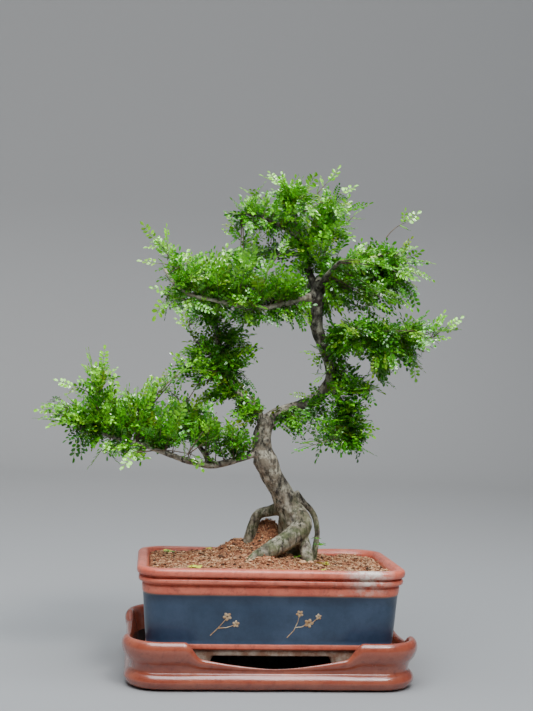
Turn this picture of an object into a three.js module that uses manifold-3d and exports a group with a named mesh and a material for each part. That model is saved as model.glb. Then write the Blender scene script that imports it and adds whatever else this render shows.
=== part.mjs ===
// A chinese pepper tree grown as a bonsai, with its glazed pot and the pot's drip saucer.
// Millimetres, +Z up, +X to the viewer's right, +Y away from the viewer. The origin is the centre of the
// saucer's flat underside.

import * as THREE from "three";
import { mergeVertices } from "three/addons/utils/BufferGeometryUtils.js";
import Module from "manifold-3d";

const wasm = await Module();
wasm.setup();

// Driving dimensions

// left between two pieces that rest on or in each other
const GAP = 0.3;

const SAUCER = {
  halfWidth: 202.5,
  halfDepth: 136,
  cornerRadius: 54,
  floorTop: 10,
  waistHeight: 26,
  rimHeight: 65,
  dipLong: { halfSpan: 118, curl: 26, height: 29 },
  dipShort: { halfSpan: 80, curl: 26, height: 49 },
};

const POT = {
  halfWidth: 185,
  halfDepth: 108,
  cornerRadius: 38,
  cornerSteps: 4,
  rimTop: 156,
  innerTop: 150,
  innerTopInset: 15.5,
  innerBottom: 62,
  innerBottomInset: 24,
  floorInset: 32,
  floorTop: 56,
  skirtBottom: 38,
  footCutHalfWidth: 85,
  footCutHalfDepth: 45,
};

const DRAIN = { radius: 11, x: 85, screenSize: 40, screenThickness: 1.6, bar: 4, windows: 2 };

// where the tree stands to the left of the pot's middle
const TREE_X = -3.4;

const SOIL = { edge: 147, grain: 1.4, rings: [36, 56, 78] };

// heaps of soil: where each has its top, how high it stands and how far it spreads
const HEAPS = [
  { x: 1, y: 26, height: 24, spreadX: 64, spreadY: 46 },
  { x: -63, y: 20, height: 8, spreadX: 110, spreadY: 70 },
];

// a pepper leaf: leaflets in pairs along a winged rib, with one more at the tip
const LEAF = { length: 50, shortLength: 34, pairs: 2, stalk: 4, rib: 1.1, angle: 1.15 };

// a flat spray of leaves along the end of a shoot: alternate side leaves, the first of them short with one
// pair of leaflets, and one leaf at the tip
const SPRAY = {
  shortAt: 8,
  leavesAt: [30, 50],
  stem: 60,
  thickness: 0.8,
  fold: 0.3,
  droop: 0.0016,
  wave: 2.2,
  least: 0.62,
  smallest: 1,
  spread: 0.24,
};

// the bare twig below a spray: how it bows and sways, and how far its foot may slide along its limb
const TWIG = {
  baseRadius: 1.9,
  tipRadius: 1.2,
  shootLength: 130,
  shortest: 12,
  bow: 0.12,
  sway: 6,
  slide: 0.25,
  tries: 90,
};

// the gap in the crown that a viewer in front sees through
const WINDOW = { centre: [25, 0, 436], halfWidth: 50, halfHeight: 55, toward: [0.103, 0.994, 0.034] };

const BARK = 0x6b5d50;
const LEAF_GREENS = [0x3d8a26, 0x2f7422, 0x57a52c];
const BLUE_GLAZE = 0x33475e;
const RED_GLAZE = 0xa5573f;
const MESH_BLACK = 0x1c1e1d;
const SOIL_BROWN = 0x7a5639;

// Limbs: [x, y, z, radius] along the middle of each, from where it starts in the wood it grew from, measured
// from the tree's own middle, as are the knots, the shoots and the gap in the crown

const LIMBS = {
  trunk: [
    [43, 7, 139, 16],
    [43, 6, 172, 15.5],
    [39, 4, 205, 16],
    [31, 4, 232, 18],
    [16, 0, 259, 16],
    [5, -3, 277, 15.5],
    [-2, -4, 292, 17.5],
    [-8, -2, 310, 15],
    [-10, 1, 328, 13.5],
    [-7, 4, 344, 13],
  ],
  rootFront: [
    [34, 2, 225, 14],
    [44, -5, 222, 14.5],
    [50, -16, 206, 15],
    [36, -30, 192, 14.5],
    [14, -42, 180, 13],
    [-8, -50, 169, 11.5],
    [-26, -56, 156, 9.5],
    [-36, -60, 138, 7],
  ],
  rootArch: [
    [28, 8, 230, 12],
    [8, 17, 222, 8.5],
    [-9, 22, 216, 8],
    [-16, 26, 199, 8.2],
    [-20, 27, 182, 8.8],
    [-24, 27, 160, 9.5],
    [-27, 26, 138, 8],
  ],
  rootRear: [
    [31, 10, 228, 11],
    [28, 20, 205, 8],
    [27, 28, 180, 8.5],
    [24, 38, 152, 8],
    [22, 42, 138, 7],
  ],
  rootRight: [
    [42, 6, 251, 6],
    [54, 10, 237, 5],
    [67, 12, 225, 4.5],
    [74, 10, 210, 4.2],
    [76, 6, 191, 4.2],
    [73, 0, 172, 4.6],
    [69, -6, 152, 5],
    [66, -8, 138, 4.5],
  ],
  rootLow: [
    [46, -14, 200, 10],
    [52, -26, 182, 9.5],
    [56, -36, 165, 9],
    [58, -44, 149, 8],
    [59, -47, 138, 7],
  ],
  arch: [
    [-7, 4, 344, 12.5],
    [5, 8, 359, 11],
    [27, 12, 370, 9.2],
    [50, 14, 378, 8.8],
    [71, 14, 389, 9.4],
    [85, 12, 406, 9.4],
    [90, 8, 426, 8.8],
    [84, 4, 448, 8.8],
    [74, 0, 469, 9],
    [65, -3, 491, 9.6],
    [61, -4, 514, 11.5],
    [64, -2, 536, 13],
    [62, 2, 555, 7.5],
  ],
  westFork: [
    [-7, 0, 345, 8],
    [-19, -6, 368, 6.6],
    [-34, -10, 384, 6],
    [-48, -12, 394, 5.6],
    [-63, -8, 414, 5],
    [-72, -2, 439, 4.6],
    [-78, 4, 465, 4.1],
    [-82, 6, 491, 3.6],
    [-86, 4, 517, 3],
  ],
  lowBranch: [
    [-10, -6, 312, 8],
    [-28, -16, 305, 6],
    [-54, -28, 296, 5.2],
    [-83, -36, 290, 5],
    [-110, -42, 294, 4.6],
    [-134, -46, 301, 4.3],
    [-156, -48, 309, 4],
    [-176, -46, 315, 3.6],
    [-198, -42, 321, 3.2],
    [-222, -38, 326, 2.9],
    [-243, -34, 332, 2.6],
  ],
  paleBranch: [
    [61, -4, 536, 8],
    [40, -16, 532, 6],
    [17, -26, 523, 5],
    [-8, -34, 516, 4.5],
    [-37, -38, 513, 4],
    [-65, -40, 518, 3.6],
    [-94, -42, 523, 3.2],
    [-122, -42, 528, 2.9],
    [-142, -42, 541, 2.7],
    [-160, -38, 564, 2.4],
  ],
  leader: [
    [62, 2, 550, 7],
    [51, 2, 573, 6],
    [46, 0, 596, 5],
    [36, -4, 618, 4.2],
    [27, -6, 644, 3.4],
    [22, -6, 668, 2.6],
  ],
  crownEast: [
    [44, -2, 604, 4],
    [64, 8, 633, 3.4],
    [81, 12, 661, 2.8],
    [91, 12, 688, 2.2],
  ],
  crownWest: [
    [36, -4, 618, 3.6],
    [11, -12, 633, 3],
    [-16, -16, 644, 2.6],
    [-45, -18, 650, 2.2],
  ],
  eastHigh: [
    [64, 0, 548, 6.5],
    [78, 8, 570, 5],
    [104, 16, 582, 4.2],
    [130, 20, 593, 3.6],
    [157, 22, 602, 3],
  ],
  eastMid: [
    [74, 0, 469, 6],
    [105, -14, 480, 4.4],
    [132, -22, 484, 4],
    [165, -26, 485, 3.5],
    [201, -24, 492, 2.9],
  ],
  eastLow: [
    [86, 12, 408, 6.5],
    [107, 2, 405, 5],
    [125, -6, 400, 4.2],
    [144, -12, 402, 3.4],
  ],
  eastDrop: [
    [88, 10, 406, 5],
    [105, -4, 384, 3.6],
    [117, -10, 359, 3],
    [122, -14, 336, 2.4],
  ],
  backBough: [
    [64, 0, 540, 6.5],
    [58, 40, 556, 4.6],
    [50, 76, 570, 3.6],
    [44, 104, 580, 2.6],
  ],
  frontBough: [
    [62, -6, 545, 6],
    [70, -40, 562, 4.2],
    [76, -74, 572, 3.2],
    [80, -98, 578, 2.4],
  ],
  westBack: [
    [-72, -2, 439, 4.4],
    [-90, 38, 455, 3.4],
    [-110, 74, 470, 2.6],
  ],
  heartBack: [
    [46, 0, 596, 4.6],
    [14, 38, 604, 3.6],
    [-20, 74, 610, 2.6],
  ],
  lowBack: [
    [-83, -36, 290, 4.6],
    [-98, 0, 312, 3.6],
    [-118, 38, 332, 2.6],
  ],
};

// faces round each kind of limb, and how deep its ridges are as a share of its radius
const SIDES = { trunk: 10, arch: 8, root: 6, knot: 5, bough: 5 };
const ROUGH = { old: 0.07, young: 0.03 };

const ROOTS = ["trunk", "rootFront", "rootArch", "rootRear", "rootRight", "rootLow"];

// Stubs and swellings of the old wood: where each stands, the way it points, its radius and its length
const KNOTS = [
  { at: [66, -4, 530], toward: [0.9, -0.3, 0.2], radius: 9, length: 17 },
  { at: [56, -4, 520], toward: [-0.9, -0.4, 0.1], radius: 7, length: 16 },
  { at: [-8, -4, 324], toward: [0.3, -1, 0.1], radius: 7, length: 15 },
  { at: [-4, -4, 292], toward: [-1, -0.2, 0.3], radius: 9, length: 18 },
  { at: [24, 2, 246], toward: [0.9, -0.5, 0.2], radius: 8, length: 19 },
];

// Masses of foliage: each is fed by the limbs named, and its shoots reach to these tips
const MASSES = [
  {
    name: "west_low",
    limbs: ["lowBranch"],
    tips: [
      [-325, -34, 367],
      [-301, 0, 398],
      [-243, -30, 446],
      [-262, -52, 297],
      [-213, -92, 308],
      [-214, 34, 394],
    ],
  },
  {
    name: "west_mid",
    limbs: ["lowBranch", "westFork", "lowBack"],
    tips: [
      [-174, -58, 409],
      [-138, -6, 451],
      [-95, -88, 317],
      [-147, 62, 322],
      [-71, -40, 354],
    ],
  },
  {
    name: "column",
    limbs: ["westFork", "westBack"],
    tips: [
      [-98, -38, 477],
      [-35, 26, 465],
      [-81, 84, 414],
    ],
  },
  {
    name: "west_high",
    limbs: ["paleBranch", "westFork", "westBack"],
    tips: [
      [-189, -36, 575],
      [-165, -20, 623],
      [-163, -72, 500],
      [-123, -96, 576],
      [-134, 74, 542],
    ],
  },
  {
    name: "heart",
    limbs: ["paleBranch", "leader", "heartBack", "crownWest"],
    tips: [
      [-66, -20, 646],
      [-34, -112, 570],
      [-62, 96, 612],
      [-80, -96, 518],
      [-24, -70, 534],
    ],
  },
  {
    name: "crown",
    limbs: ["leader", "crownEast", "crownWest"],
    tips: [
      [-20, -10, 706],
      [91, 10, 724],
      [139, 4, 674],
      [27, -78, 677],
      [46, 84, 685],
      [79, -96, 618],
    ],
  },
  {
    name: "east_high",
    limbs: ["eastHigh", "frontBough", "backBough"],
    tips: [
      [243, 10, 591],
      [172, -58, 613],
      [182, 92, 601],
      [108, -112, 565],
    ],
  },
  {
    name: "east_mid",
    limbs: ["eastMid"],
    tips: [
      [273, -20, 510],
      [230, -8, 435],
      [184, -92, 499],
      [153, 80, 514],
      [99, -96, 501],
      [136, -60, 434],
    ],
  },
  {
    name: "east_low",
    limbs: ["eastLow", "eastDrop", "arch"],
    tips: [
      [151, -30, 352],
      [111, -14, 313],
      [194, 36, 411],
      [78, 40, 326],
      [37, -60, 351],
    ],
  },
];

// Helpers

// A repeatable stream of numbers from 0 to 1.
function seededRandom(seed) {
  let state = seed >>> 0;
  return () => {
    state = (state + 0x6d2b79f5) >>> 0;
    let mixed = Math.imul(state ^ (state >>> 15), 1 | state);
    mixed = (mixed + Math.imul(mixed ^ (mixed >>> 7), 61 | mixed)) ^ mixed;
    return ((mixed ^ (mixed >>> 14)) >>> 0) / 4294967296;
  };
}

function vector(values) {
  return new THREE.Vector3(values[0], values[1], values[2]);
}

function smoothStep(value) {
  const t = THREE.MathUtils.clamp(value, 0, 1);
  return t * t * (3 - 2 * t);
}

function solidOf(geometry) {
  const bare = new THREE.BufferGeometry();
  bare.setAttribute("position", geometry.getAttribute("position"));
  bare.setIndex(geometry.getIndex());
  const merged = mergeVertices(bare, 1e-4);
  const vertProperties = merged.getAttribute("position").array;
  const triVerts = new Uint32Array(merged.getIndex().array);
  return new wasm.Manifold(new wasm.Mesh({ numProp: 3, vertProperties, triVerts }));
}

function geometryOf(solid) {
  const mesh = solid.getMesh();
  const geometry = new THREE.BufferGeometry();
  geometry.setAttribute("position", new THREE.BufferAttribute(mesh.vertProperties, 3));
  geometry.setIndex(new THREE.BufferAttribute(mesh.triVerts, 1));
  geometry.computeVertexNormals();
  return geometry;
}

function joined(solids) {
  return solids.reduce((whole, solid) => whole.add(solid));
}

function boxSolid(width, depth, height, x, y, z) {
  return solidOf(new THREE.BoxGeometry(width, depth, height).translate(x, y, z));
}

function roundSolid(radius, height, x, y, z) {
  const geometry = new THREE.CylinderGeometry(radius, radius, height, 14);
  return solidOf(geometry.rotateX(Math.PI / 2).translate(x, y, z));
}

function pieceOf(name, solid, color, roughness) {
  const material = new THREE.MeshStandardMaterial({ color, roughness, metalness: 0 });
  const mesh = new THREE.Mesh(geometryOf(solid), material);
  mesh.name = name;
  return mesh;
}

// Stations round a rounded rectangle: the centre that a station's corner arc or straight side turns
// about, and the outward direction there.
function stationsOf(shape, longSteps, shortSteps, cornerSteps) {
  const straightX = shape.halfWidth - shape.cornerRadius;
  const straightY = shape.halfDepth - shape.cornerRadius;
  const corners = [[1, 1], [-1, 1], [-1, -1], [1, -1]];
  const stations = [];
  corners.forEach(([signX, signY], corner) => {
    const start = (corner * Math.PI) / 2;
    for (let i = 0; i <= cornerSteps; i += 1) {
      const angle = start + (i / cornerSteps) * (Math.PI / 2);
      stations.push({ x: signX * straightX, y: signY * straightY, angle });
    }
    const steps = corner % 2 === 0 ? longSteps : shortSteps;
    const [nextX, nextY] = corners[(corner + 1) % 4];
    for (let i = 1; i < steps; i += 1) {
      const x = THREE.MathUtils.lerp(signX, nextX, i / steps) * straightX;
      const y = THREE.MathUtils.lerp(signY, nextY, i / steps) * straightY;
      stations.push({ x, y, angle: start + Math.PI / 2 });
    }
  });
  return stations;
}

// The point at a station that stands a distance in from the outline. Past the corner radius the outline
// keeps a small corner and shrinks towards its middle.
function pointInside(shape, station, inset) {
  const radius = Math.max(shape.cornerRadius - inset, 2);
  const shrink = Math.max(0, inset + 2 - shape.cornerRadius);
  const x = station.x * (1 - shrink / (shape.halfWidth - shape.cornerRadius));
  const y = station.y * (1 - shrink / (shape.halfDepth - shape.cornerRadius));
  return [x + Math.cos(station.angle) * radius, y + Math.sin(station.angle) * radius];
}

// A closed body swept round a rounded rectangle. Each profile point is [inset from the outline, height]; an
// inset of null lies on the middle axis. shaped(station, inset, height) may move a point.
function sweptRound(shape, stations, profile, shaped = (station, inset, height) => [inset, height]) {
  const points = profile.map(([inset, height]) => new THREE.Vector2(inset === null ? 0 : 1, height));
  const geometry = new THREE.LatheGeometry(points, stations.length);
  const position = geometry.getAttribute("position");
  for (let i = 0; i < position.count; i += 1) {
    const station = stations[Math.floor(i / profile.length) % stations.length];
    const [inset, height] = profile[i % profile.length];
    if (inset === null) {
      position.setXYZ(i, 0, 0, height);
    } else {
      const [placedInset, placedHeight] = shaped(station, inset, height);
      const [x, y] = pointInside(shape, station, placedInset);
      position.setXYZ(i, x, y, placedHeight);
    }
  }
  return solidOf(geometry);
}

// Saucer

// How far the wall stands up at a station, from 0 in the middle of a dip to 1 at the corners.
function wallFullness(station) {
  const [x, y] = pointInside(SAUCER, station, 0);
  const onLongSide = Math.abs(Math.sin(station.angle)) > 0.99;
  const onShortSide = Math.abs(Math.cos(station.angle)) > 0.99;
  if (!onLongSide && !onShortSide) {
    return 1;
  }
  const dip = onLongSide ? SAUCER.dipLong : SAUCER.dipShort;
  const along = Math.abs(onLongSide ? x : y);
  const curl = smoothStep((dip.halfSpan - along) / dip.curl);
  const sag = Math.max(0, 1 - (along / dip.halfSpan) ** 2);
  const drop = (SAUCER.rimHeight - dip.height) / (SAUCER.rimHeight - SAUCER.waistHeight);
  return 1 - drop * (0.72 * curl + 0.28 * sag);
}

function makeSaucer() {
  const waistInset = 12.5;
  const profile = [
    [null, 0],
    [20, 0],
    [8, 4],
    [5, 13],
    [waistInset, SAUCER.waistHeight],
    [9, 34],
    [2.5, 44],
    [0, 54],
    [5.5, SAUCER.rimHeight],
    [11.5, SAUCER.rimHeight - 1.5],
    [14.5, 56],
    [20, 30],
    [27, 14],
    [38, SAUCER.floorTop],
    [null, SAUCER.floorTop],
  ];
  const stations = stationsOf(SAUCER, 10, 4, 4);
  return sweptRound(SAUCER, stations, profile, (station, inset, height) => {
    if (height <= SAUCER.waistHeight) {
      return [inset, height];
    }
    const fullness = wallFullness(station);
    const placedHeight = SAUCER.waistHeight + (height - SAUCER.waistHeight) * fullness;
    const flare = inset < waistInset ? waistInset + (inset - waistInset) * fullness : inset;
    return [flare, placedHeight];
  });
}

// Pot

// How far the pot's inner wall stands in from the rim's outline at a height.
function innerInset(height) {
  const share = (height - POT.innerBottom) / (POT.innerTop - POT.innerBottom);
  return THREE.MathUtils.lerp(POT.innerBottomInset, POT.innerTopInset, share);
}

function makePot() {
  const profile = [
    [null, 45],
    [34, 45],
    [31, SAUCER.floorTop + GAP],
    [20, SAUCER.floorTop + GAP],
    [18.5, POT.skirtBottom],
    [18, 46],
    [14.5, 48.5],
    [15, 54],
    [6.8, 120],
    [0.6, 130],
    [0.2, 138],
    [4.4, 141.6],
    [0, 145],
    [-0.3, 152],
    [3, POT.rimTop],
    [12, POT.rimTop],
    [innerInset(POT.innerTop), POT.innerTop],
    [innerInset(POT.innerBottom), POT.innerBottom],
    [POT.floorInset, POT.floorTop],
    [null, POT.floorTop],
  ];
  const body = sweptRound(POT, stationsOf(POT, 1, 1, POT.cornerSteps), profile);
  const cutHeight = POT.skirtBottom;
  const frontCut = boxSolid(2 * POT.footCutHalfWidth, 4 * POT.halfDepth, cutHeight, 0, 0, cutHeight / 2);
  const sideCut = boxSolid(4 * POT.halfWidth, 2 * POT.footCutHalfDepth, cutHeight, 0, 0, cutHeight / 2);
  const drains = [-DRAIN.x, DRAIN.x].map((x) => roundSolid(DRAIN.radius, 60, x, 0, POT.floorTop));
  return body.subtract(joined([frontCut, sideCut, ...drains]));
}

// A square of plastic mesh that keeps the soil in over a drain hole.
function makeScreen(x) {
  const { screenSize, screenThickness, bar, windows } = DRAIN;
  const middle = POT.floorTop + GAP + screenThickness / 2;
  const pitch = (screenSize - bar) / windows;
  const openings = [];
  for (let i = 0; i < windows * windows; i += 1) {
    const across = -screenSize / 2 + bar / 2 + ((i % windows) + 0.5) * pitch;
    const along = -screenSize / 2 + bar / 2 + (Math.floor(i / windows) + 0.5) * pitch;
    openings.push(boxSolid(pitch - bar, pitch - bar, 2 * screenThickness, x + across, along, middle));
  }
  return boxSolid(screenSize, screenSize, screenThickness, x, 0, middle).subtract(joined(openings));
}

// Soil

function soilHeight(x, y) {
  let height = SOIL.edge + SOIL.grain * (Math.sin(x * 0.11 + y * 0.07) + Math.sin(y * 0.17 - x * 0.05));
  HEAPS.forEach((heap) => {
    const across = (x - heap.x) / heap.spreadX;
    const along = (y - heap.y) / heap.spreadY;
    height += heap.height * Math.exp(-across * across - along * along);
  });
  return height;
}

function makeSoil(sockets) {
  const edgeInset = innerInset(SOIL.edge) + GAP;
  const above = SOIL.edge + 1;
  const profile = [
    [null, POT.floorTop + GAP],
    [POT.floorInset + GAP, POT.floorTop + GAP],
    [innerInset(POT.innerBottom) + 2 * GAP, POT.innerBottom + GAP],
    [edgeInset, SOIL.edge],
    ...SOIL.rings.map((inset) => [inset, above]),
    [null, soilHeight(0, 0)],
  ];
  const stations = stationsOf(POT, 5, 2, POT.cornerSteps);
  const body = sweptRound(POT, stations, profile, (station, inset, height) => {
    if (height <= SOIL.edge) {
      return [inset, height];
    }
    const [x, y] = pointInside(POT, station, inset);
    return [inset, soilHeight(x, y)];
  });
  const { screenSize, screenThickness } = DRAIN;
  const seatHeight = screenThickness + 2 * GAP + 1;
  const seatMiddle = POT.floorTop - 0.5 + seatHeight / 2;
  const seats = [-DRAIN.x, DRAIN.x].map((x) =>
    boxSolid(screenSize + 2 * GAP, screenSize + 2 * GAP, seatHeight, x, 0, seatMiddle),
  );
  return body.subtract(joined([sockets, ...seats]));
}

// Wood

// A closed limb bent along a smooth curve through points of [x, y, z, radius]. Its section has a few shallow
// ridges that wind round it, and swell widens it all over, ends included.
function limbSolid(points, sides, ridge, swell = 0) {
  const curve = new THREE.CatmullRomCurve3(points.map(vector), false, "centripetal");
  const rows = points.length - 1;
  const geometry = new THREE.CylinderGeometry(1, 1, 1, sides, rows);
  const position = geometry.getAttribute("position");
  const frames = [];
  const normal = new THREE.Vector3(0.31, -0.9, 0.23);
  for (let row = 0; row <= rows; row += 1) {
    const t = row / rows;
    const tangent = curve.getTangent(t);
    normal.addScaledVector(tangent, -normal.dot(tangent)).normalize();
    const side = new THREE.Vector3().crossVectors(tangent, normal);
    const centre = curve.getPoint(t);
    if (row === 0 || row === rows) {
      centre.addScaledVector(tangent, row === 0 ? -swell : swell);
    }
    frames.push({ centre, normal: normal.clone(), side, radius: points[row][3] });
  }
  for (let i = 0; i < position.count; i += 1) {
    const row = Math.round((0.5 - position.getY(i)) * rows);
    const frame = frames[row];
    const across = position.getX(i);
    const along = position.getZ(i);
    const angle = Math.atan2(along, across);
    const ripple = Math.sin(3 * angle + row * 0.5) + 0.6 * Math.sin(5 * angle - row * 0.8);
    const reach = frame.radius * (1 + ridge * ripple) + swell;
    const place = frame.centre.clone();
    place.addScaledVector(frame.normal, across * reach);
    place.addScaledVector(frame.side, along * reach);
    position.setXYZ(i, place.x, place.y, place.z);
  }
  return solidOf(geometry);
}

function rootSolids(swell) {
  return ROOTS.map((name) => {
    const sides = name === "trunk" ? SIDES.trunk : SIDES.root;
    return limbSolid(LIMBS[name], sides, ROUGH.old, swell);
  });
}

function knotSolid({ at, toward, radius, length }, swell) {
  const start = vector(at);
  const direction = vector(toward).normalize();
  const middle = start.clone().addScaledVector(direction, length * 0.6);
  const end = start.clone().addScaledVector(direction, length);
  const points = [
    [...start.toArray(), radius],
    [...middle.toArray(), radius * 0.92],
    [...end.toArray(), radius * 0.55],
  ];
  return limbSolid(points, SIDES.knot, ROUGH.old, swell);
}

// The place along the named limbs from which a shoot of the usual length would reach its tip.
function placeOnLimbs(names, tip) {
  let best = null;
  names.forEach((name) => {
    const curve = new THREE.CatmullRomCurve3(LIMBS[name].map(vector), false, "centripetal");
    for (let i = 4; i <= 20; i += 1) {
      const t = i / 20;
      const miss = Math.abs(curve.getPoint(t).distanceTo(tip) - TWIG.shootLength);
      if (best === null || miss < best.miss) {
        best = { curve, t, miss };
      }
    }
  });
  return best;
}

function planShoots() {
  return MASSES.flatMap((mass) =>
    mass.tips.map((values, i) => {
      const tip = vector(values);
      return { name: "spray_" + mass.name + "_" + (i + 1), tip, ...placeOnLimbs(mass.limbs, tip) };
    }),
  );
}

// All the wood but the leafy shoots. A swell widens every limb of it.
function treeSolid(swell) {
  const boughs = Object.keys(LIMBS).filter((name) => !ROOTS.includes(name));
  const solids = rootSolids(swell);
  boughs.forEach((name) => {
    const isMain = name === "arch";
    const sides = isMain ? SIDES.arch : SIDES.bough;
    solids.push(limbSolid(LIMBS[name], sides, isMain ? ROUGH.old : ROUGH.young, swell));
  });
  KNOTS.forEach((knot) => solids.push(knotSolid(knot, swell)));
  return joined(solids);
}

// Foliage

// The outline of one leaf, from its stalk round its tip and back: blunt leaflets in pairs cut down to the
// rib, the pair at the stalk smaller, and one at the tip. The leaf points along +X.
function leafOutline(length, pairs) {
  const pitch = (length - LEAF.stalk) / (pairs + 1.15);
  const side = [];
  for (let pair = 0; pair < pairs; pair += 1) {
    const valley = LEAF.stalk + pitch * pair;
    const reach = pitch * (0.68 + 0.24 * pair);
    side.push([valley, LEAF.rib]);
    side.push([valley + pitch * 0.34, reach]);
    side.push([valley + pitch * 0.98, reach * 0.84]);
  }
  side.push([LEAF.stalk + pitch * pairs, LEAF.rib]);
  side.push([LEAF.stalk + pitch * (pairs + 0.6), pitch * 0.5]);
  const near = side.map(([x, y]) => [x, -y]);
  return [...near, [length, 0], ...side.reverse()];
}

// The outline of a spray along +X: a stem with alternate side leaves, and a leaf at its tip.
function sprayOutline(scale) {
  const points = { near: [], far: [] };
  [SPRAY.shortAt, ...SPRAY.leavesAt].forEach((start, i) => {
    const sign = i % 2 === 0 ? -1 : 1;
    const cos = Math.cos(LEAF.angle);
    const sin = Math.sin(LEAF.angle) * sign;
    const outline = i === 0 ? leafOutline(LEAF.shortLength, 1) : leafOutline(LEAF.length, LEAF.pairs);
    const placed = outline.map(([u, v]) => [start + u * cos - v * sin, u * sin + v * cos]);
    if (sign < 0) {
      points.near.push(...placed);
    } else {
      points.far.unshift(...placed);
    }
  });
  const tip = leafOutline(LEAF.length, LEAF.pairs).map(([u, v]) => [SPRAY.stem + u, v]);
  const shape = new THREE.Shape();
  shape.moveTo(0, 0);
  [...points.near, ...tip, ...points.far].forEach(([x, y]) => shape.lineTo(x * scale, y * scale));
  return shape;
}

// A spray as one thin plate, folded up along its stem, drooping to its tip and waved, with its stem at base.
function spraySolid(spray, thickness) {
  const { base, along, up, scale } = spray;
  const geometry = new THREE.ExtrudeGeometry(sprayOutline(scale), { depth: thickness, bevelEnabled: false });
  const position = geometry.getAttribute("position");
  for (let i = 0; i < position.count; i += 1) {
    const x = position.getX(i);
    const y = position.getY(i);
    const wave = SPRAY.wave * Math.sin(x * 0.09 + y * 0.13) * Math.min(1, Math.abs(y) / 10);
    const lift = SPRAY.fold * Math.abs(y) - (SPRAY.droop * x * x) / scale + wave;
    position.setZ(i, position.getZ(i) - thickness / 2 + lift);
  }
  const normal = up.clone().addScaledVector(along, -up.dot(along)).normalize();
  const side = new THREE.Vector3().crossVectors(normal, along);
  const placed = new THREE.Matrix4().makeBasis(along, side, normal).setPosition(base);
  return solidOf(geometry.applyMatrix4(placed));
}

function spread(random, amount) {
  return new THREE.Vector3(random() - 0.5, random() - 0.5, random() - 0.5).multiplyScalar(2 * amount);
}

// One try at a shoot: a bare twig bows out of its limb, and its spray goes on to the tip.
function drawShoot(plan, attempt, random) {
  const slide = TWIG.slide * (1 + attempt / TWIG.tries) * (random() - 0.7);
  const t = THREE.MathUtils.clamp(plan.t + slide, 0.15, 0.97);
  const start = plan.curve.getPoint(t);
  const aim = plan.tip.clone().add(spread(random, 6 + attempt)).sub(start);
  const drawn = (SPRAY.smallest + SPRAY.spread * random()) * (1 - (0.35 * attempt) / TWIG.tries);
  const fitting = (aim.length() - TWIG.shortest) / (SPRAY.stem + LEAF.length);
  const scale = THREE.MathUtils.clamp(fitting, SPRAY.least, drawn);
  const length = (SPRAY.stem + LEAF.length) * scale;
  const distance = Math.max(aim.length(), length + TWIG.shortest);
  const tip = start.clone().addScaledVector(aim.normalize(), distance);
  const middle = start.clone().lerp(tip, 0.5).add(spread(random, TWIG.sway));
  middle.z += distance * TWIG.bow;
  const curve = new THREE.QuadraticBezierCurve3(start, middle, tip);
  const share = 1 - length / distance;
  const base = curve.getPoint(share);
  const along = tip.clone().sub(base).normalize();
  const up = new THREE.Vector3(1.3 * (random() - 0.5), -0.1 - 0.8 * random(), 0.35 + 0.8 * random());
  const twigPoints = [0, 1].map((part) => {
    const radius = THREE.MathUtils.lerp(TWIG.baseRadius, TWIG.tipRadius, part);
    return [...curve.getPoint(part * share).toArray(), radius];
  });
  const spray = { base: base.addScaledVector(along, -0.8), along, up, scale };
  return { twig: limbSolid(twigPoints, 3, 0), spray };
}

function isClear(solid, others) {
  return others.every((other) => solid.intersect(other).isEmpty());
}

function windowSolid() {
  const geometry = new THREE.CylinderGeometry(1, 1, 600, 16);
  geometry.scale(WINDOW.halfWidth, 1, WINDOW.halfHeight);
  const turned = new THREE.Quaternion();
  turned.setFromUnitVectors(new THREE.Vector3(0, 1, 0), vector(WINDOW.toward).normalize());
  geometry.applyQuaternion(turned);
  return solidOf(geometry.translate(...WINDOW.centre));
}

// A leafy shoot that stands clear of all else: it starts a hair off the wood that it grows from.
function growShoot(plan, wood, obstacles, random) {
  for (let attempt = 0; attempt < TWIG.tries; attempt += 1) {
    const { twig, spray } = drawShoot(plan, attempt, random);
    const roomyTwig = twig.subtract(wood);
    const roomySpray = spraySolid(spray, SPRAY.thickness + 2 * GAP);
    const isWhole = roomyTwig.decompose().length === 1;
    if (isWhole && isClear(roomySpray, [wood, ...obstacles]) && isClear(roomyTwig, obstacles)) {
      const solid = roomyTwig.add(spraySolid(spray, SPRAY.thickness));
      return { solid, reserved: roomyTwig.add(roomySpray) };
    }
  }
  throw new Error(plan.name + " finds no room");
}

// Assembly

const plant = new THREE.Group();
plant.position.x = TREE_X;
plant.add(pieceOf("tree_trunk_roots_branches", treeSolid(0), BARK, 0.9));

const random = seededRandom(20240);
const wood = treeSolid(GAP);
const seeThrough = windowSolid();
let grown = null;
planShoots().forEach((plan, index) => {
  const obstacles = grown === null ? [seeThrough] : [seeThrough, grown];
  const { solid, reserved } = growShoot(plan, wood, obstacles, random);
  grown = grown === null ? reserved : grown.add(reserved);
  plant.add(pieceOf(plan.name, solid, LEAF_GREENS[index % LEAF_GREENS.length], 0.4));
});

const potGroup = new THREE.Group();
const screens = [-DRAIN.x, DRAIN.x].map(makeScreen);
potGroup.add(pieceOf("pot_glazed_stoneware", makePot(), BLUE_GLAZE, 0.3));
potGroup.add(pieceOf("drain_screen_left", screens[0], MESH_BLACK, 0.6));
potGroup.add(pieceOf("drain_screen_right", screens[1], MESH_BLACK, 0.6));
const sockets = joined(rootSolids(GAP + 0.1)).translate([TREE_X, 0, 0]);
potGroup.add(pieceOf("soil_in_pot", makeSoil(sockets), SOIL_BROWN, 0.95));

const bonsai = new THREE.Group();
bonsai.add(pieceOf("drip_saucer", makeSaucer(), RED_GLAZE, 0.35));
bonsai.add(potGroup);
bonsai.add(plant);

export default bonsai;
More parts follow.
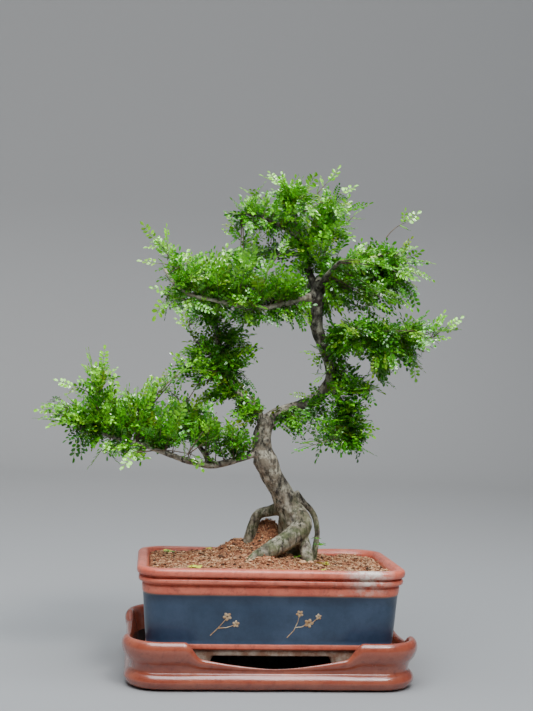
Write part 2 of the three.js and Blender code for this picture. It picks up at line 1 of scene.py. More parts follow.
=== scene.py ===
"""Looks of a chinese pepper bonsai in its glazed pot, which stands on a drip saucer.

Pieces are modelled in millimetres and scaled to metres when they are finished. +Z is up, +X goes to the
viewer's right and +Y away from the viewer. The origin is the centre of the saucer's flat underside.
"""

import logging
import math
import random
from collections.abc import Callable, Iterable, Sequence
from dataclasses import dataclass, field
from enum import Enum

import bmesh
import bpy
from mathutils import Matrix, Vector, noise
from mathutils.kdtree import KDTree


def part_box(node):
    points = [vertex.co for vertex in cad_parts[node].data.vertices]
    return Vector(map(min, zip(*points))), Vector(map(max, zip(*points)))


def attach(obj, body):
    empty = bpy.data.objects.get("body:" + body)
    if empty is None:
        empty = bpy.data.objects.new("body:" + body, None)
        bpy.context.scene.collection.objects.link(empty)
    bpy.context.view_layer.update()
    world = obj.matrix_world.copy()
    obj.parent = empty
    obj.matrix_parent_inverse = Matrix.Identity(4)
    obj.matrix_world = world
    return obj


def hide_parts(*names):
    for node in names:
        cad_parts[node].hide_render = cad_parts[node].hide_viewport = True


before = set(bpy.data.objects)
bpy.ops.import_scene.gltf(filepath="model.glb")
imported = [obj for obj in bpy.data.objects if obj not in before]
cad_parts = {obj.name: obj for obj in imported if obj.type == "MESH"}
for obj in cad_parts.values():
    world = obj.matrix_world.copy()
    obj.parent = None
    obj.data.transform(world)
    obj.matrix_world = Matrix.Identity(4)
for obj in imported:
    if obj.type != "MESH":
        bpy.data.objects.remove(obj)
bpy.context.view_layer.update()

LOG = logging.getLogger("bonsai")
MM = 0.001
BODY = "root"

# the types that the hints name most
Pair = tuple[float, float]
Triple = tuple[float, float, float]
Tree = bpy.types.NodeTree
Socket = bpy.types.NodeSocket
Colour = Socket | tuple[float, float, float, float]


class Slot(Enum):
    """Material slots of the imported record."""

    SAUCER = "saucer_glaze"
    POT = "pot_glaze"
    DRAIN = "drain_mesh"
    SOIL = "soil"
    BARK = "bark"
    LEAF = "leaf"


def linear(hex_code: str) -> tuple[float, float, float, float]:
    """Turns an sRGB colour into linear light.

    Args:
        hex_code: The colour as six hex digits.

    Returns:
        Linear red, green and blue, and an alpha of 1.
    """
    shares = [int(hex_code[i : i + 2], 16) / 255 for i in (0, 2, 4)]
    bent = [c / 12.92 if c <= 0.04045 else ((c + 0.055) / 1.055) ** 2.4 for c in shares]
    return (*bent, 1.0)


def add_node(
    tree: Tree, kind: str, inputs: dict | None = None, **settings: object
) -> bpy.types.Node:
    """Adds a shader node with its settings, values and links.

    Args:
        tree: The node tree that gets the node.
        kind: The node's type name.
        inputs: Values or sockets, by the name or number of the input that takes them.
        **settings: Properties of the node.

    Returns:
        The new node.
    """
    made = tree.nodes.new(kind)
    for name, value in settings.items():
        setattr(made, name, value)
    for key, value in (inputs or {}).items():
        if isinstance(value, Socket):
            tree.links.new(value, made.inputs[key])
        else:
            made.inputs[key].default_value = value
    return made


def per_metre(size_mm: float) -> float:
    """Gives a texture scale at which one cell of the pattern measures size_mm."""
    return 1000 / size_mm


# Finishes

# the octaves of the cloudy patterns, and how ragged spots and grain are
CLOUD_OCTAVES = 7.0
SPOT_RAGGEDNESS = 0.68
GRAIN_RAGGEDNESS = 0.7
# how hard the relief shades, and how soft the gleam of a coat is
RELIEF_STRENGTH = 0.8
COAT_ROUGHNESS = 0.12


@dataclass(frozen=True)
class Layer:
    """Spots of another colour over a finish, where cloudy noise lies between the levels low and high.

    A spot measures about spot_mm. A stretch under 1 draws it out upright, and dulls roughens it.
    """

    colour: str
    spot_mm: float
    low: float
    high: float
    most: float = 1.0
    stretch: float = 1.0
    dulls: float = 0.0

    def share(self, tree: Tree, place: Socket) -> Socket:
        """Finds how much of the layer shows at each place.

        Args:
            tree: The material's node tree.
            place: Object coordinates, in metres.

        Returns:
            A value from 0 to the layer's most.
        """
        drawn = add_node(tree, "ShaderNodeMapping", {"Vector": place, "Scale": (1.0, 1.0, self.stretch)})
        cells = {
            "Vector": drawn.outputs[0],
            "Scale": per_metre(self.spot_mm),
            "Detail": CLOUD_OCTAVES,
            "Roughness": SPOT_RAGGEDNESS,
        }
        spots = add_node(tree, "ShaderNodeTexNoise", cells).outputs[0]
        levels = {"Value": spots, "From Min": self.low, "From Max": self.high, "To Max": self.most}
        return add_node(tree, "ShaderNodeMapRange", levels).outputs[0]


@dataclass(frozen=True)
class Finish:
    """What a surface is made of: a ground colour, layers over it, a fine relief and a shine."""

    name: str
    ground: str
    layers: tuple[Layer, ...] = ()
    roughness: float = 0.85
    ior: float = 1.5
    coat: float = 0.0
    grain_mm: float = 3.0
    relief_mm: float = 0.4
    see_through: float = 0.0

    def grounded(self, tree: Tree, place: Socket) -> Colour:
        """Gives the colour that lies under the layers."""
        return linear(self.ground)

    def aged(self, tree: Tree, colour: Colour, place: Socket) -> Colour:
        """Gives the colour after what lies over the layers."""
        return colour

    def material(self) -> bpy.types.Material:
        """Makes the procedural material.

        Returns:
            A new material that reads Object coordinates.
        """
        made = bpy.data.materials.new(self.name)
        made.use_nodes = True
        tree = made.node_tree
        tree.nodes.clear()
        place = add_node(tree, "ShaderNodeTexCoord").outputs["Object"]
        colour, roughness = self.grounded(tree, place), self.roughness
        for layer in self.layers:
            share = layer.share(tree, place)
            blend = {0: share, 6: colour, 7: linear(layer.colour)}
            colour = add_node(tree, "ShaderNodeMix", blend, data_type="RGBA").outputs[2]
            if layer.dulls:
                duller = {0: share, 1: layer.dulls, 2: roughness}
                roughness = add_node(tree, "ShaderNodeMath", duller, operation="MULTIPLY_ADD").outputs[0]
        colour = self.aged(tree, colour, place)
        cells = {
            "Vector": place,
            "Scale": per_metre(self.grain_mm),
            "Detail": CLOUD_OCTAVES,
            "Roughness": GRAIN_RAGGEDNESS,
        }
        grain = add_node(tree, "ShaderNodeTexNoise", cells).outputs[0]
        heights = {"Height": grain, "Strength": RELIEF_STRENGTH, "Distance": self.relief_mm * MM}
        relief = add_node(tree, "ShaderNodeBump", heights)
        looks = {
            "Base Color": colour,
            "Roughness": roughness,
            "IOR": self.ior,
            "Coat Weight": self.coat,
            "Coat Roughness": COAT_ROUGHNESS,
            "Normal": relief.outputs[0],
        }
        surface = add_node(tree, "ShaderNodeBsdfPrincipled", looks).outputs[0]
        if self.see_through:
            glow = add_node(tree, "ShaderNodeBsdfTranslucent", {"Color": colour})
            both = {0: self.see_through, 1: surface, 2: glow.outputs[0]}
            surface = add_node(tree, "ShaderNodeMixShader", both).outputs[0]
        add_node(tree, "ShaderNodeOutputMaterial", {"Surface": surface})
        return made


@dataclass(frozen=True)
class WallGlaze(Finish):
    """A glaze that ends at two heights, where it runs thin and shows tan."""

    thin: str = "A98468"
    # at each edge, the heights at which the glaze is full and thin
    edges: tuple[Pair, ...] = ((120.4, 122.6), (56.6, 54.4))
    run_mm: float = 40.0
    run_depth: float = 2.5
    thinness: float = 0.85

    def aged(self, tree: Tree, colour: Colour, place: Socket) -> Socket:
        """Thins the glaze at both edges.

        Args:
            tree: The material's node tree.
            colour: The colour so far.
            place: Object coordinates, in metres.

        Returns:
            The colour with its tan edges.
        """
        height = add_node(tree, "ShaderNodeSeparateXYZ", {"Vector": place}).outputs["Z"]
        runs = add_node(tree, "ShaderNodeTexNoise", {"Vector": place, "Scale": per_metre(self.run_mm)})
        drips = {0: runs.outputs[0], 1: self.run_depth * MM, 2: height}
        wavy = add_node(tree, "ShaderNodeMath", drips, operation="MULTIPLY_ADD").outputs[0]
        for full, bare in self.edges:
            edge = {"Value": wavy, "From Min": full * MM, "From Max": bare * MM, "To Max": self.thinness}
            share = add_node(tree, "ShaderNodeMapRange", edge).outputs[0]
            blend = {0: share, 6: colour, 7: linear(self.thin)}
            colour = add_node(tree, "ShaderNodeMix", blend, data_type="RGBA").outputs[2]
        return colour


@dataclass(frozen=True)
class LimedRim(Finish):
    """A rim with a crust of lime at one place, where hard water has dried."""

    crust: Layer = Layer("EADFD2", 12, 0.38, 0.56, most=0.9)
    splash: Triple = (128.0, -106.0, 152.0)
    reach: float = 38.0
    thick_share: float = 0.3

    def aged(self, tree: Tree, colour: Colour, place: Socket) -> Socket:
        """Lays lime round the splash.

        Args:
            tree: The material's node tree.
            colour: The colour so far.
            place: Object coordinates, in metres.

        Returns:
            The colour with the crust over it.
        """
        centre = tuple(value * MM for value in self.splash)
        away = add_node(tree, "ShaderNodeVectorMath", {0: place, 1: centre}, operation="DISTANCE")
        fade = {
            "Value": away.outputs["Value"],
            "From Min": self.reach * MM,
            "From Max": self.thick_share * self.reach * MM,
        }
        near = add_node(tree, "ShaderNodeMapRange", fade).outputs[0]
        flecks = self.crust.share(tree, place)
        share = add_node(tree, "ShaderNodeMath", {0: near, 1: flecks}, operation="MULTIPLY").outputs[0]
        blend = {0: share, 6: colour, 7: linear(self.crust.colour)}
        return add_node(tree, "ShaderNodeMix", blend, data_type="RGBA").outputs[2]


@dataclass(frozen=True)
class LivingBark(Finish):
    """Bark that turns darker as the tree goes up, and mossy near the soil."""

    aloft: str = "35261D"
    dark_from: float = 375.0
    dark_at: float = 445.0
    darkness: float = 0.92
    moss: Layer = Layer("5E6A38", 24, 0.42, 0.6, most=0.6)
    moss_top: float = 290.0
    moss_full: float = 170.0

    def grounded(self, tree: Tree, place: Socket) -> Socket:
        """Darkens the plates with height.

        Args:
            tree: The material's node tree.
            place: Object coordinates, in metres.

        Returns:
            The plates' colour.
        """
        height = add_node(tree, "ShaderNodeSeparateXYZ", {"Vector": place}).outputs["Z"]
        start, end = self.dark_from * MM, self.dark_at * MM
        rise = {"Value": height, "From Min": start, "From Max": end, "To Max": self.darkness}
        share = add_node(tree, "ShaderNodeMapRange", rise).outputs[0]
        blend = {0: share, 6: linear(self.ground), 7: linear(self.aloft)}
        return add_node(tree, "ShaderNodeMix", blend, data_type="RGBA").outputs[2]

    def aged(self, tree: Tree, colour: Colour, place: Socket) -> Socket:
        """Lays moss low down.

        Args:
            tree: The material's node tree.
            colour: The colour so far.
            place: Object coordinates, in metres.

        Returns:
            The colour with moss over it.
        """
        height = add_node(tree, "ShaderNodeSeparateXYZ", {"Vector": place}).outputs["Z"]
        fade = {"Value": height, "From Min": self.moss_top * MM, "From Max": self.moss_full * MM}
        low = add_node(tree, "ShaderNodeMapRange", fade).outputs[0]
        tufts = self.moss.share(tree, place)
        share = add_node(tree, "ShaderNodeMath", {0: low, 1: tufts}, operation="MULTIPLY").outputs[0]
        blend = {0: share, 6: colour, 7: linear(self.moss.colour)}
        return add_node(tree, "ShaderNodeMix", blend, data_type="RGBA").outputs[2]


@dataclass(frozen=True)
class PepperLeaf(Finish):
    """A waxy leaflet, coloured by the leaf's own tone, its tint and the leaflet's own shade."""

    # the tones between which a leaf turns from the last colour to the next, from grown to young
    stages: tuple[tuple[float, float, str], ...] = ((0.05, 0.5, "52AC14"), (0.5, 1.0, "94E024"))
    olive: str = "8A961C"
    olive_from: float = 0.8
    olive_most: float = 0.75
    darkest: float = 0.7
    lightest: float = 1.35

    def grounded(self, tree: Tree, place: Socket) -> Socket:
        """Runs from old to young with the leaf's tone.

        Args:
            tree: The material's node tree.
            place: Object coordinates, in metres. It is not used.

        Returns:
            The leaf's colour.
        """
        tone = add_node(tree, "ShaderNodeAttribute", attribute_name="tone").outputs["Fac"]
        colour = linear(self.ground)
        for start, end, next_colour in self.stages:
            part = {"Value": tone, "From Min": start, "From Max": end}
            share = add_node(tree, "ShaderNodeMapRange", part).outputs[0]
            blend = {0: share, 6: colour, 7: linear(next_colour)}
            colour = add_node(tree, "ShaderNodeMix", blend, data_type="RGBA").outputs[2]
        return colour

    def aged(self, tree: Tree, colour: Colour, place: Socket) -> Socket:
        """Turns a few leaves olive and makes each leaflet lighter or darker.

        Args:
            tree: The material's node tree.
            colour: The colour so far.
            place: Object coordinates, in metres. It is not used.

        Returns:
            The colour of each leaflet.
        """
        tint = add_node(tree, "ShaderNodeAttribute", attribute_name="tint").outputs["Fac"]
        few = {"Value": tint, "From Min": self.olive_from, "From Max": 1.0, "To Max": self.olive_most}
        share = add_node(tree, "ShaderNodeMapRange", few).outputs[0]
        blend = {0: share, 6: colour, 7: linear(self.olive)}
        mixed = add_node(tree, "ShaderNodeMix", blend, data_type="RGBA").outputs[2]
        shade = add_node(tree, "ShaderNodeAttribute", attribute_name="shade").outputs["Fac"]
        span = {"Value": shade, "To Min": self.darkest, "To Max": self.lightest}
        lit = add_node(tree, "ShaderNodeMapRange", span).outputs[0]
        return add_node(tree, "ShaderNodeHueSaturation", {"Color": mixed, "Value": lit}).outputs[0]


# the glaze lies thick in clouds and tap water has left pale crusts, so the red looks warm and uneven
SAUCER_GLAZE = Finish(
    "red_stoneware_glazed_and_fired",
    "8E3E2A",
    (
        Layer("A4563E", 45, 0.36, 0.64),
        Layer("5E2A22", 9, 0.52, 0.74, most=0.6),
        Layer("D8C2B2", 26, 0.66, 0.78, most=0.5, dulls=0.4),
    ),
    roughness=0.22,
    ior=1.6,
    coat=0.6,
    grain_mm=9,
)
# the inside is painted dark brown with darker blotches as painted shade, for the pot's shadow over it,
# and has no shine
SAUCER_INSIDE_PAINTED_SHADE = Finish(
    "red_stoneware_inside_painted_shade", "3A2018", (Layer("1C120E", 20, 0.44, 0.6),), roughness=0.95
)
# the clay is rubbed smooth and thinly glazed, so the rim is a soft pinkish red with little shine
RIM_GLAZE = LimedRim(
    "red_stoneware_rubbed_smooth",
    "CA5E48",
    (
        Layer("E27A60", 40, 0.36, 0.64),
        Layer("70342C", 8, 0.5, 0.74, most=0.6),
        Layer("E2D0C2", 30, 0.64, 0.76, most=0.6, dulls=0.4),
    ),
    roughness=0.34,
    coat=0.15,
    grain_mm=9,
)
# an even sprayed glaze with soft lighter clouds, so the wall looks slate blue with a dull sheen
WALL_GLAZE = WallGlaze(
    "blue_glaze_sprayed_and_fired",
    "24364C",
    (Layer("3E5068", 80, 0.38, 0.68, most=0.9), Layer("1E2C3E", 26, 0.5, 0.75, most=0.5)),
    roughness=0.34,
    coat=0.12,
    grain_mm=14,
)
# bare gritty clay with grey lime, so the foot looks dull and sandy
FOOT_CLAY = Finish(
    "sandy_stoneware_unglazed", "8C6650", (Layer("B9AA98", 18, 0.44, 0.64),), grain_mm=1.6, relief_mm=0.5
)
# liquid clay trailed on the glaze, so the sprigs stand up as dull tan lines
SLIP_CLAY = Finish(
    "tan_slip_trailed_on_glaze", "A9825A", (Layer("CDBA98", 9, 0.44, 0.62),), roughness=0.6
)
# bark cracked as the wood swelled, with lichen, so plates of grey tan lie between near-black cracks
BARK = LivingBark(
    "pepper_bark_old_and_cracked",
    "7A6E5C",
    (
        Layer("C2BAA4", 14, 0.44, 0.6, most=0.85),
        Layer("241D18", 5.5, 0.54, 0.38, stretch=0.42),
        Layer("2C2622", 30, 0.5, 0.6, most=0.7),
    ),
    roughness=0.88,
    grain_mm=5.5,
    relief_mm=1.2,
)
# a scraped branch whose bark is thin, so it shines pale grey tan among the leaves
PALE_BARK = Finish(
    "pepper_bark_pale_and_thin",
    "B3A48E",
    (Layer("D8CFBE", 12, 0.48, 0.64), Layer("5A4A3C", 4, 0.5, 0.36, most=0.8, stretch=0.42)),
    roughness=0.75,
    relief_mm=0.8,
)
# year-old bark is thin and brown with darker scales
TWIG_BARK = Finish(
    "pepper_twig_bark_grown", "6E5A45", (Layer("3A2C22", 5, 0.46, 0.6),), roughness=0.75
)
# a juicy stalk, bright yellow-green where it is young
YOUNG_STEM = Finish(
    "pepper_leaf_stalk_green", "8CBC3A", (Layer("56822A", 7, 0.46, 0.6),), roughness=0.45
)
# a wax coat gives each leaflet a hard wet shine, and thin flesh lets some light through
LEAF = PepperLeaf(
    "pepper_leaf_waxy",
    "266610",
    roughness=0.16,
    ior=1.55,
    coat=1.0,
    grain_mm=2.2,
    relief_mm=0.2,
    see_through=0.25,
)
# loose soil is all crumbs, from straw tan to dark humus
SOIL = Finish("bark_and_loam_soil_loose", "74442E", (Layer("C6885C", 2.6, 0.46, 0.62),), roughness=0.95)
CRUMB_LIGHT = Finish("bark_chip_dry_tan", "B07A52", (Layer("F0C294", 3, 0.42, 0.6),), roughness=0.95)
CRUMB_DARK = Finish("humus_crumb_damp", "33231A", (Layer("62432E", 3, 0.42, 0.6),), roughness=0.9)
FIBRE = Finish("coir_fibre_dry", "B8885E", (Layer("E6C29A", 4, 0.42, 0.6),), roughness=0.9)
# shed leaflets dry to yellow before they brown
FALLEN = Finish("fallen_leaflet_yellow", "C8D83A", (Layer("E8DC3C", 5, 0.44, 0.6),), roughness=0.45)
# moulded mesh is near black with a dull gleam
PLASTIC_MESH = Finish(
    "polyethylene_mesh_moulded", "1C1E1D", (Layer("101211", 9, 0.44, 0.6),), roughness=0.5
)


# Making meshes

NO_SHIFT = Vector((0, 0, 0))
# the tree stands a little left of the pot's middle, and its points are measured from its own middle
TREE_SHIFT = Vector((-3.4, 0, 0))


def meshed(name: str, made: bmesh.types.BMesh) -> bpy.types.Mesh:
    """Turns a bmesh into a mesh and frees it.

    Args:
        name: The mesh's name.
        made: The shape.

    Returns:
        The mesh.
    """
    mesh = bpy.data.meshes.new(name)
    made.to_mesh(mesh)
    made.free()
    return mesh


def linked(name: str, data: bpy.types.ID) -> bpy.types.Object:
    """Makes an object and adds it to the scene.

    Args:
        name: The object's name.
        data: Its mesh, light or camera.

    Returns:
        The object.
    """
    made = bpy.data.objects.new(name, data)
    bpy.context.scene.collection.objects.link(made)
    return made


def numbered(mesh: bpy.types.Mesh, number: int) -> None:
    """Gives every face of a mesh one material number."""
    mesh.polygons.foreach_set("material_index", [number] * len(mesh.polygons))


def finished(
    name: str,
    source: bmesh.types.BMesh | bpy.types.Mesh,
    finishes: Sequence[Finish],
    slot: Slot,
    shift: Vector = NO_SHIFT,
) -> bpy.types.Object:
    """Scales a mesh to metres and makes it a piece of the object.

    Args:
        name: The piece's name.
        source: The shape, in millimetres. A bmesh is freed.
        finishes: The materials, in the order of the faces' material numbers.
        slot: The record's material slot. It is not used.
        shift: How far the shape moves before it is scaled.

    Returns:
        The piece, at the origin, riding on the part.
    """
    mesh = meshed(name, source) if isinstance(source, bmesh.types.BMesh) else source
    mesh.name = name
    mesh.transform(Matrix.Scale(MM, 4) @ Matrix.Translation(shift))
    if not mesh.materials:
        for finish in finishes:
            mesh.materials.append(MATERIALS(finish))
    piece = linked(name, mesh)
    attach(piece, BODY)
    LOG.info("%s: %d faces", name, len(mesh.polygons))
    return piece


class MaterialStore:
    """Makes each finish's material once and hands it out again."""

    def __init__(self) -> None:
        """Starts with no materials."""
        self._made: dict[Finish, bpy.types.Material] = {}

    def __call__(self, finish: Finish) -> bpy.types.Material:
        """Gives the material of a finish, made at its first use.

        Args:
            finish: The finish.

        Returns:
            Its material.
        """
        if finish not in self._made:
            self._made[finish] = finish.material()
        return self._made[finish]


MATERIALS = MaterialStore()


def smooth_step(value: float) -> float:
    """Eases a value from 0 to 1, and holds it outside that range."""
    t = min(max(value, 0.0), 1.0)
    return t * t * (3 - 2 * t)


def tubes(name: str, paths: Iterable[Sequence[tuple[Vector, float]]], roundness: int) -> bpy.types.Mesh:
    """Sweeps a round section along paths and closes both ends.

    Args:
        name: The mesh's name.
        paths: For each tube its points, with a radius at each, in millimetres.
        roundness: Bevel resolution; 0 gives four sides and each step adds four.

    Returns:
        One mesh of all the tubes.
    """
    curve = bpy.data.curves.new(name, "CURVE")
    curve.dimensions = "3D"
    curve.bevel_depth = 1.0
    curve.bevel_resolution = roundness
    curve.use_fill_caps = True
    for path in paths:
        spline = curve.splines.new("POLY")
        spline.points.add(len(path) - 1)
        for point, (place, radius) in zip(spline.points, path):
            point.co = (*place, 1.0)
            point.radius = radius
    holder = bpy.data.objects.new(name, curve)
    mesh = bpy.data.meshes.new_from_object(holder)
    bpy.data.objects.remove(holder)
    bpy.data.curves.remove(curve)
    return mesh


def applied(mesh: bpy.types.Mesh, *modifiers: tuple[str, dict]) -> bpy.types.Mesh:
    """Runs modifiers on a mesh.

    Args:
        mesh: The mesh to start from.
        *modifiers: Each modifier's type and its settings.

    Returns:
        The changed mesh.
    """
    holder = linked(mesh.name, mesh)
    for kind, settings in modifiers:
        modifier = holder.modifiers.new(kind.lower(), kind)
        for key, value in settings.items():
            setattr(modifier, key, value)
    depsgraph = bpy.context.evaluated_depsgraph_get()
    made = bpy.data.meshes.new_from_object(holder.evaluated_get(depsgraph))
    bpy.data.objects.remove(holder)
    return made


# Stoneware

# how straight out a station faces on a straight side
STRAIGHT_OUT = 0.99


@dataclass(frozen=True)
class Station:
    """A place on a rounded rectangle: the centre that it turns about and the outward direction."""

    x: float
    y: float
    angle: float

    @property
    def on_long_side(self) -> bool:
        """Whether it faces straight to the front or back."""
        return abs(math.sin(self.angle)) > STRAIGHT_OUT

    @property
    def on_short_side(self) -> bool:
        """Whether it faces straight to the left or right."""
        return abs(math.cos(self.angle)) > STRAIGHT_OUT


@dataclass(frozen=True)
class Footprint:
    """A rectangle with round corners, seen from above."""

    half_width: float
    half_depth: float
    corner: float
    least_corner: float = 2.0

    def stations(self, long_steps: int, short_steps: int, corner_steps: int) -> list[Station]:
        """Divides the outline.

        Args:
            long_steps: Steps along each long side.
            short_steps: Steps along each short side.
            corner_steps: Steps round each corner.

        Returns:
            The stations, anticlockwise from the rear end of the right side.
        """
        straight = Vector((self.half_width - self.corner, self.half_depth - self.corner))
        signs = [(1, 1), (-1, 1), (-1, -1), (1, -1)]
        found = []
        for corner, (sign_x, sign_y) in enumerate(signs):
            start = corner * math.pi / 2
            for i in range(corner_steps + 1):
                angle = start + i / corner_steps * math.pi / 2
                found.append(Station(sign_x * straight.x, sign_y * straight.y, angle))
            steps = long_steps if corner % 2 == 0 else short_steps
            next_x, next_y = signs[(corner + 1) % 4]
            for i in range(1, steps):
                share = i / steps
                x = (sign_x + (next_x - sign_x) * share) * straight.x
                y = (sign_y + (next_y - sign_y) * share) * straight.y
                found.append(Station(x, y, start + math.pi / 2))
        return found

    def point(self, station: Station, inset: float) -> Pair:
        """Finds the point at a station that stands in from the outline.

        Args:
            station: The place on the outline.
            inset: How far in from it.

        Returns:
            X and Y. Past the corner radius the outline keeps a small corner and shrinks.
        """
        radius = max(self.corner - inset, self.least_corner)
        shrink = max(0.0, inset + self.least_corner - self.corner)
        x = station.x * (1 - shrink / (self.half_width - self.corner))
        y = station.y * (1 - shrink / (self.half_depth - self.corner))
        return x + math.cos(station.angle) * radius, y + math.sin(station.angle) * radius


@dataclass(frozen=True)
class Row:
    """One level of a thrown or pressed wall: inset from the outline, height, and the band below it."""

    inset: float
    height: float
    band: int = 0


def swept(
    footprint: Footprint,
    stations: Sequence[Station],
    rows: Sequence[Row],
    shaped: Callable[[Station, Row], Pair],
) -> bmesh.types.BMesh:
    """Makes a closed body by carrying a wall's rows round an outline.

    Args:
        footprint: The outline.
        stations: Where the outline is divided.
        rows: The wall, from the middle of the underside out, up and in again.
        shaped: Gives inset and height for a row at a station.

    Returns:
        The closed body, with its faces pointing out.
    """
    made = bmesh.new()
    rings: list[list[bmesh.types.BMEdge]] = []
    for row in rows:
        ring = []
        for station in stations:
            inset, height = shaped(station, row)
            x, y = footprint.point(station, inset)
            ring.append(made.verts.new((x, y, height)))
        rings.append([made.edges.new((a, b)) for a, b in zip(ring, ring[1:] + ring[:1])])
    for lower, upper, row in zip(rings, rings[1:], rows[1:]):
        strip = bmesh.ops.bridge_loops(made, edges=lower + upper)
        for face in strip["faces"]:
            face.material_index = row.band
            face.smooth = True
    for ring, row in ((rings[0], rows[0]), (rings[-1], rows[-1])):
        cap = bmesh.ops.contextual_create(made, geom=ring)
        for face in cap["faces"]:
            face.material_index = row.band
    bmesh.ops.recalc_face_normals(made, faces=made.faces)
    return made


# how much of a side the rounding of one of its corners takes up, at most
ROUNDED_SHARE = 0.45


def rounded(corners: Sequence[Row], steps: int, reach: float) -> list[Row]:
    """Rounds the corners of a wall's section.

    Args:
        corners: The section's rows, in order.
        steps: Rows put in at each corner.
        reach: How far from a corner the rounding starts, at most.

    Returns:
        The rows with each inner corner replaced by a short curve.
    """
    made = [corners[0]]
    for before, corner, after in zip(corners, corners[1:], corners[2:]):
        here = Vector((corner.inset, corner.height))
        back = Vector((before.inset, before.height)) - here
        on = Vector((after.inset, after.height)) - here
        start = here + back.normalized() * min(reach, back.length * ROUNDED_SHARE)
        end = here + on.normalized() * min(reach, on.length * ROUNDED_SHARE)
        for i in range(steps + 1):
            t = i / steps
            point = start * (1 - t) ** 2 + here * 2 * t * (1 - t) + end * t * t
            made.append(Row(point.x, point.y, corner.band if i <= steps / 2 else after.band))
    made.append(corners[-1])
    return made


def unevenness(made: bmesh.types.BMesh, size: float, depth: float, above: float = -math.inf) -> None:
    """Moves a wall in and out a little, as clay does when it dries.

    Args:
        made: The body to change.
        size: How wide each swell is.
        depth: How far it moves, at most.
        above: The height below which nothing moves.
    """
    for vert in made.verts:
        if vert.co.z > above:
            vert.co += vert.normal * noise.noise(vert.co / size) * depth


def leaning(height: float, low: Pair, high: Pair) -> float:
    """Gives a straight wall's inset at a height.

    Args:
        height: The height.
        low: The inset and height of a lower point of the wall.
        high: The inset and height of a higher point.

    Returns:
        The inset.
    """
    return low[0] + (high[0] - low[0]) * (height - low[1]) / (high[1] - low[1])


@dataclass
class DripSaucer:
    """A saucer of glazed stoneware whose wall dips in the middle of each side."""

    footprint: Footprint = Footprint(202.5, 136.0, 54.0)
    divisions: tuple[int, int, int] = (84, 44, 12)
    floor_top: float = 10.0
    waist_height: float = 26.0
    waist_inset: float = 12.5
    rim_height: float = 65.0
    # each dip's half width, the width of the curl at its ends and the height left in its middle
    dip_long: Triple = (118.0, 22.0, 29.5)
    dip_short: Triple = (80.0, 26.0, 49.0)
    curl_share: float = 0.5
    sag_power: float = 1.7
    uneven_size: float = 60.0
    uneven_depth: float = 0.7

    def fullness(self, station: Station) -> float:
        """Tells how far the wall stands up at a station.

        Args:
            station: The place on the outline.

        Returns:
            1 at the corners, and less in the dips.
        """
        if not station.on_long_side and not station.on_short_side:
            return 1.0
        x, y = self.footprint.point(station, 0)
        half_span, curl, lip = self.dip_long if station.on_long_side else self.dip_short
        along = abs(x if station.on_long_side else y)
        curled = smooth_step((half_span - along) / curl)
        sag = max(0.0, 1 - (along / half_span) ** self.sag_power)
        drop = (self.rim_height - lip) / (self.rim_height - self.waist_height)
        return 1 - drop * (self.curl_share * curled + (1 - self.curl_share) * sag)

    def shaped(self, station: Station, row: Row) -> Pair:
        """Lowers and straightens the wall in the dips.

        Args:
            station: The place on the outline.
            row: The level of the full wall.

        Returns:
            Inset and height there.
        """
        if row.height <= self.waist_height:
            return row.inset, row.height
        full = self.fullness(station)
        height = self.waist_height + (row.height - self.waist_height) * full
        if row.inset < self.waist_inset:
            return self.waist_inset + (row.inset - self.waist_inset) * full, height
        return row.inset, height

    def build(self) -> bpy.types.Object:
        """Makes the saucer.

        Returns:
            The finished piece.
        """
        section = (
            *((60, 0), (20, 0), (9, 2.5), (4.5, 10), (4.5, 14), (8.5, 20.5)),
            *((self.waist_inset, 22.5), (self.waist_inset, self.waist_height)),
            *((10.5, 33), (3.5, 42), (0, 52), (1, 59)),
            *((5.5, self.rim_height), (11.5, self.rim_height - 1), (14.5, 56), (20, 30)),
            # the rows numbered 1, low on the inner wall and over the floor, take the inside's painted
            # shade
            *((27, 14, 1), (38, self.floor_top, 1), (80, self.floor_top, 1)),
        )
        corners = [Row(*corner) for corner in section]
        stations = self.footprint.stations(*self.divisions)
        made = swept(self.footprint, stations, rounded(corners, steps=2, reach=3.0), self.shaped)
        unevenness(made, self.uneven_size, self.uneven_depth)
        for vert in made.verts:
            vert.co.z = max(vert.co.z, 0.0)
        piece = finished("saucer_glazed", made, (SAUCER_GLAZE, SAUCER_INSIDE_PAINTED_SHADE), Slot.SAUCER)
        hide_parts("drip_saucer")
        return piece


class Band(Enum):
    """The pot's finishes from top to bottom, by their material numbers."""

    RIM = 0
    WALL = 1
    FOOT = 2
    INSIDE = 3


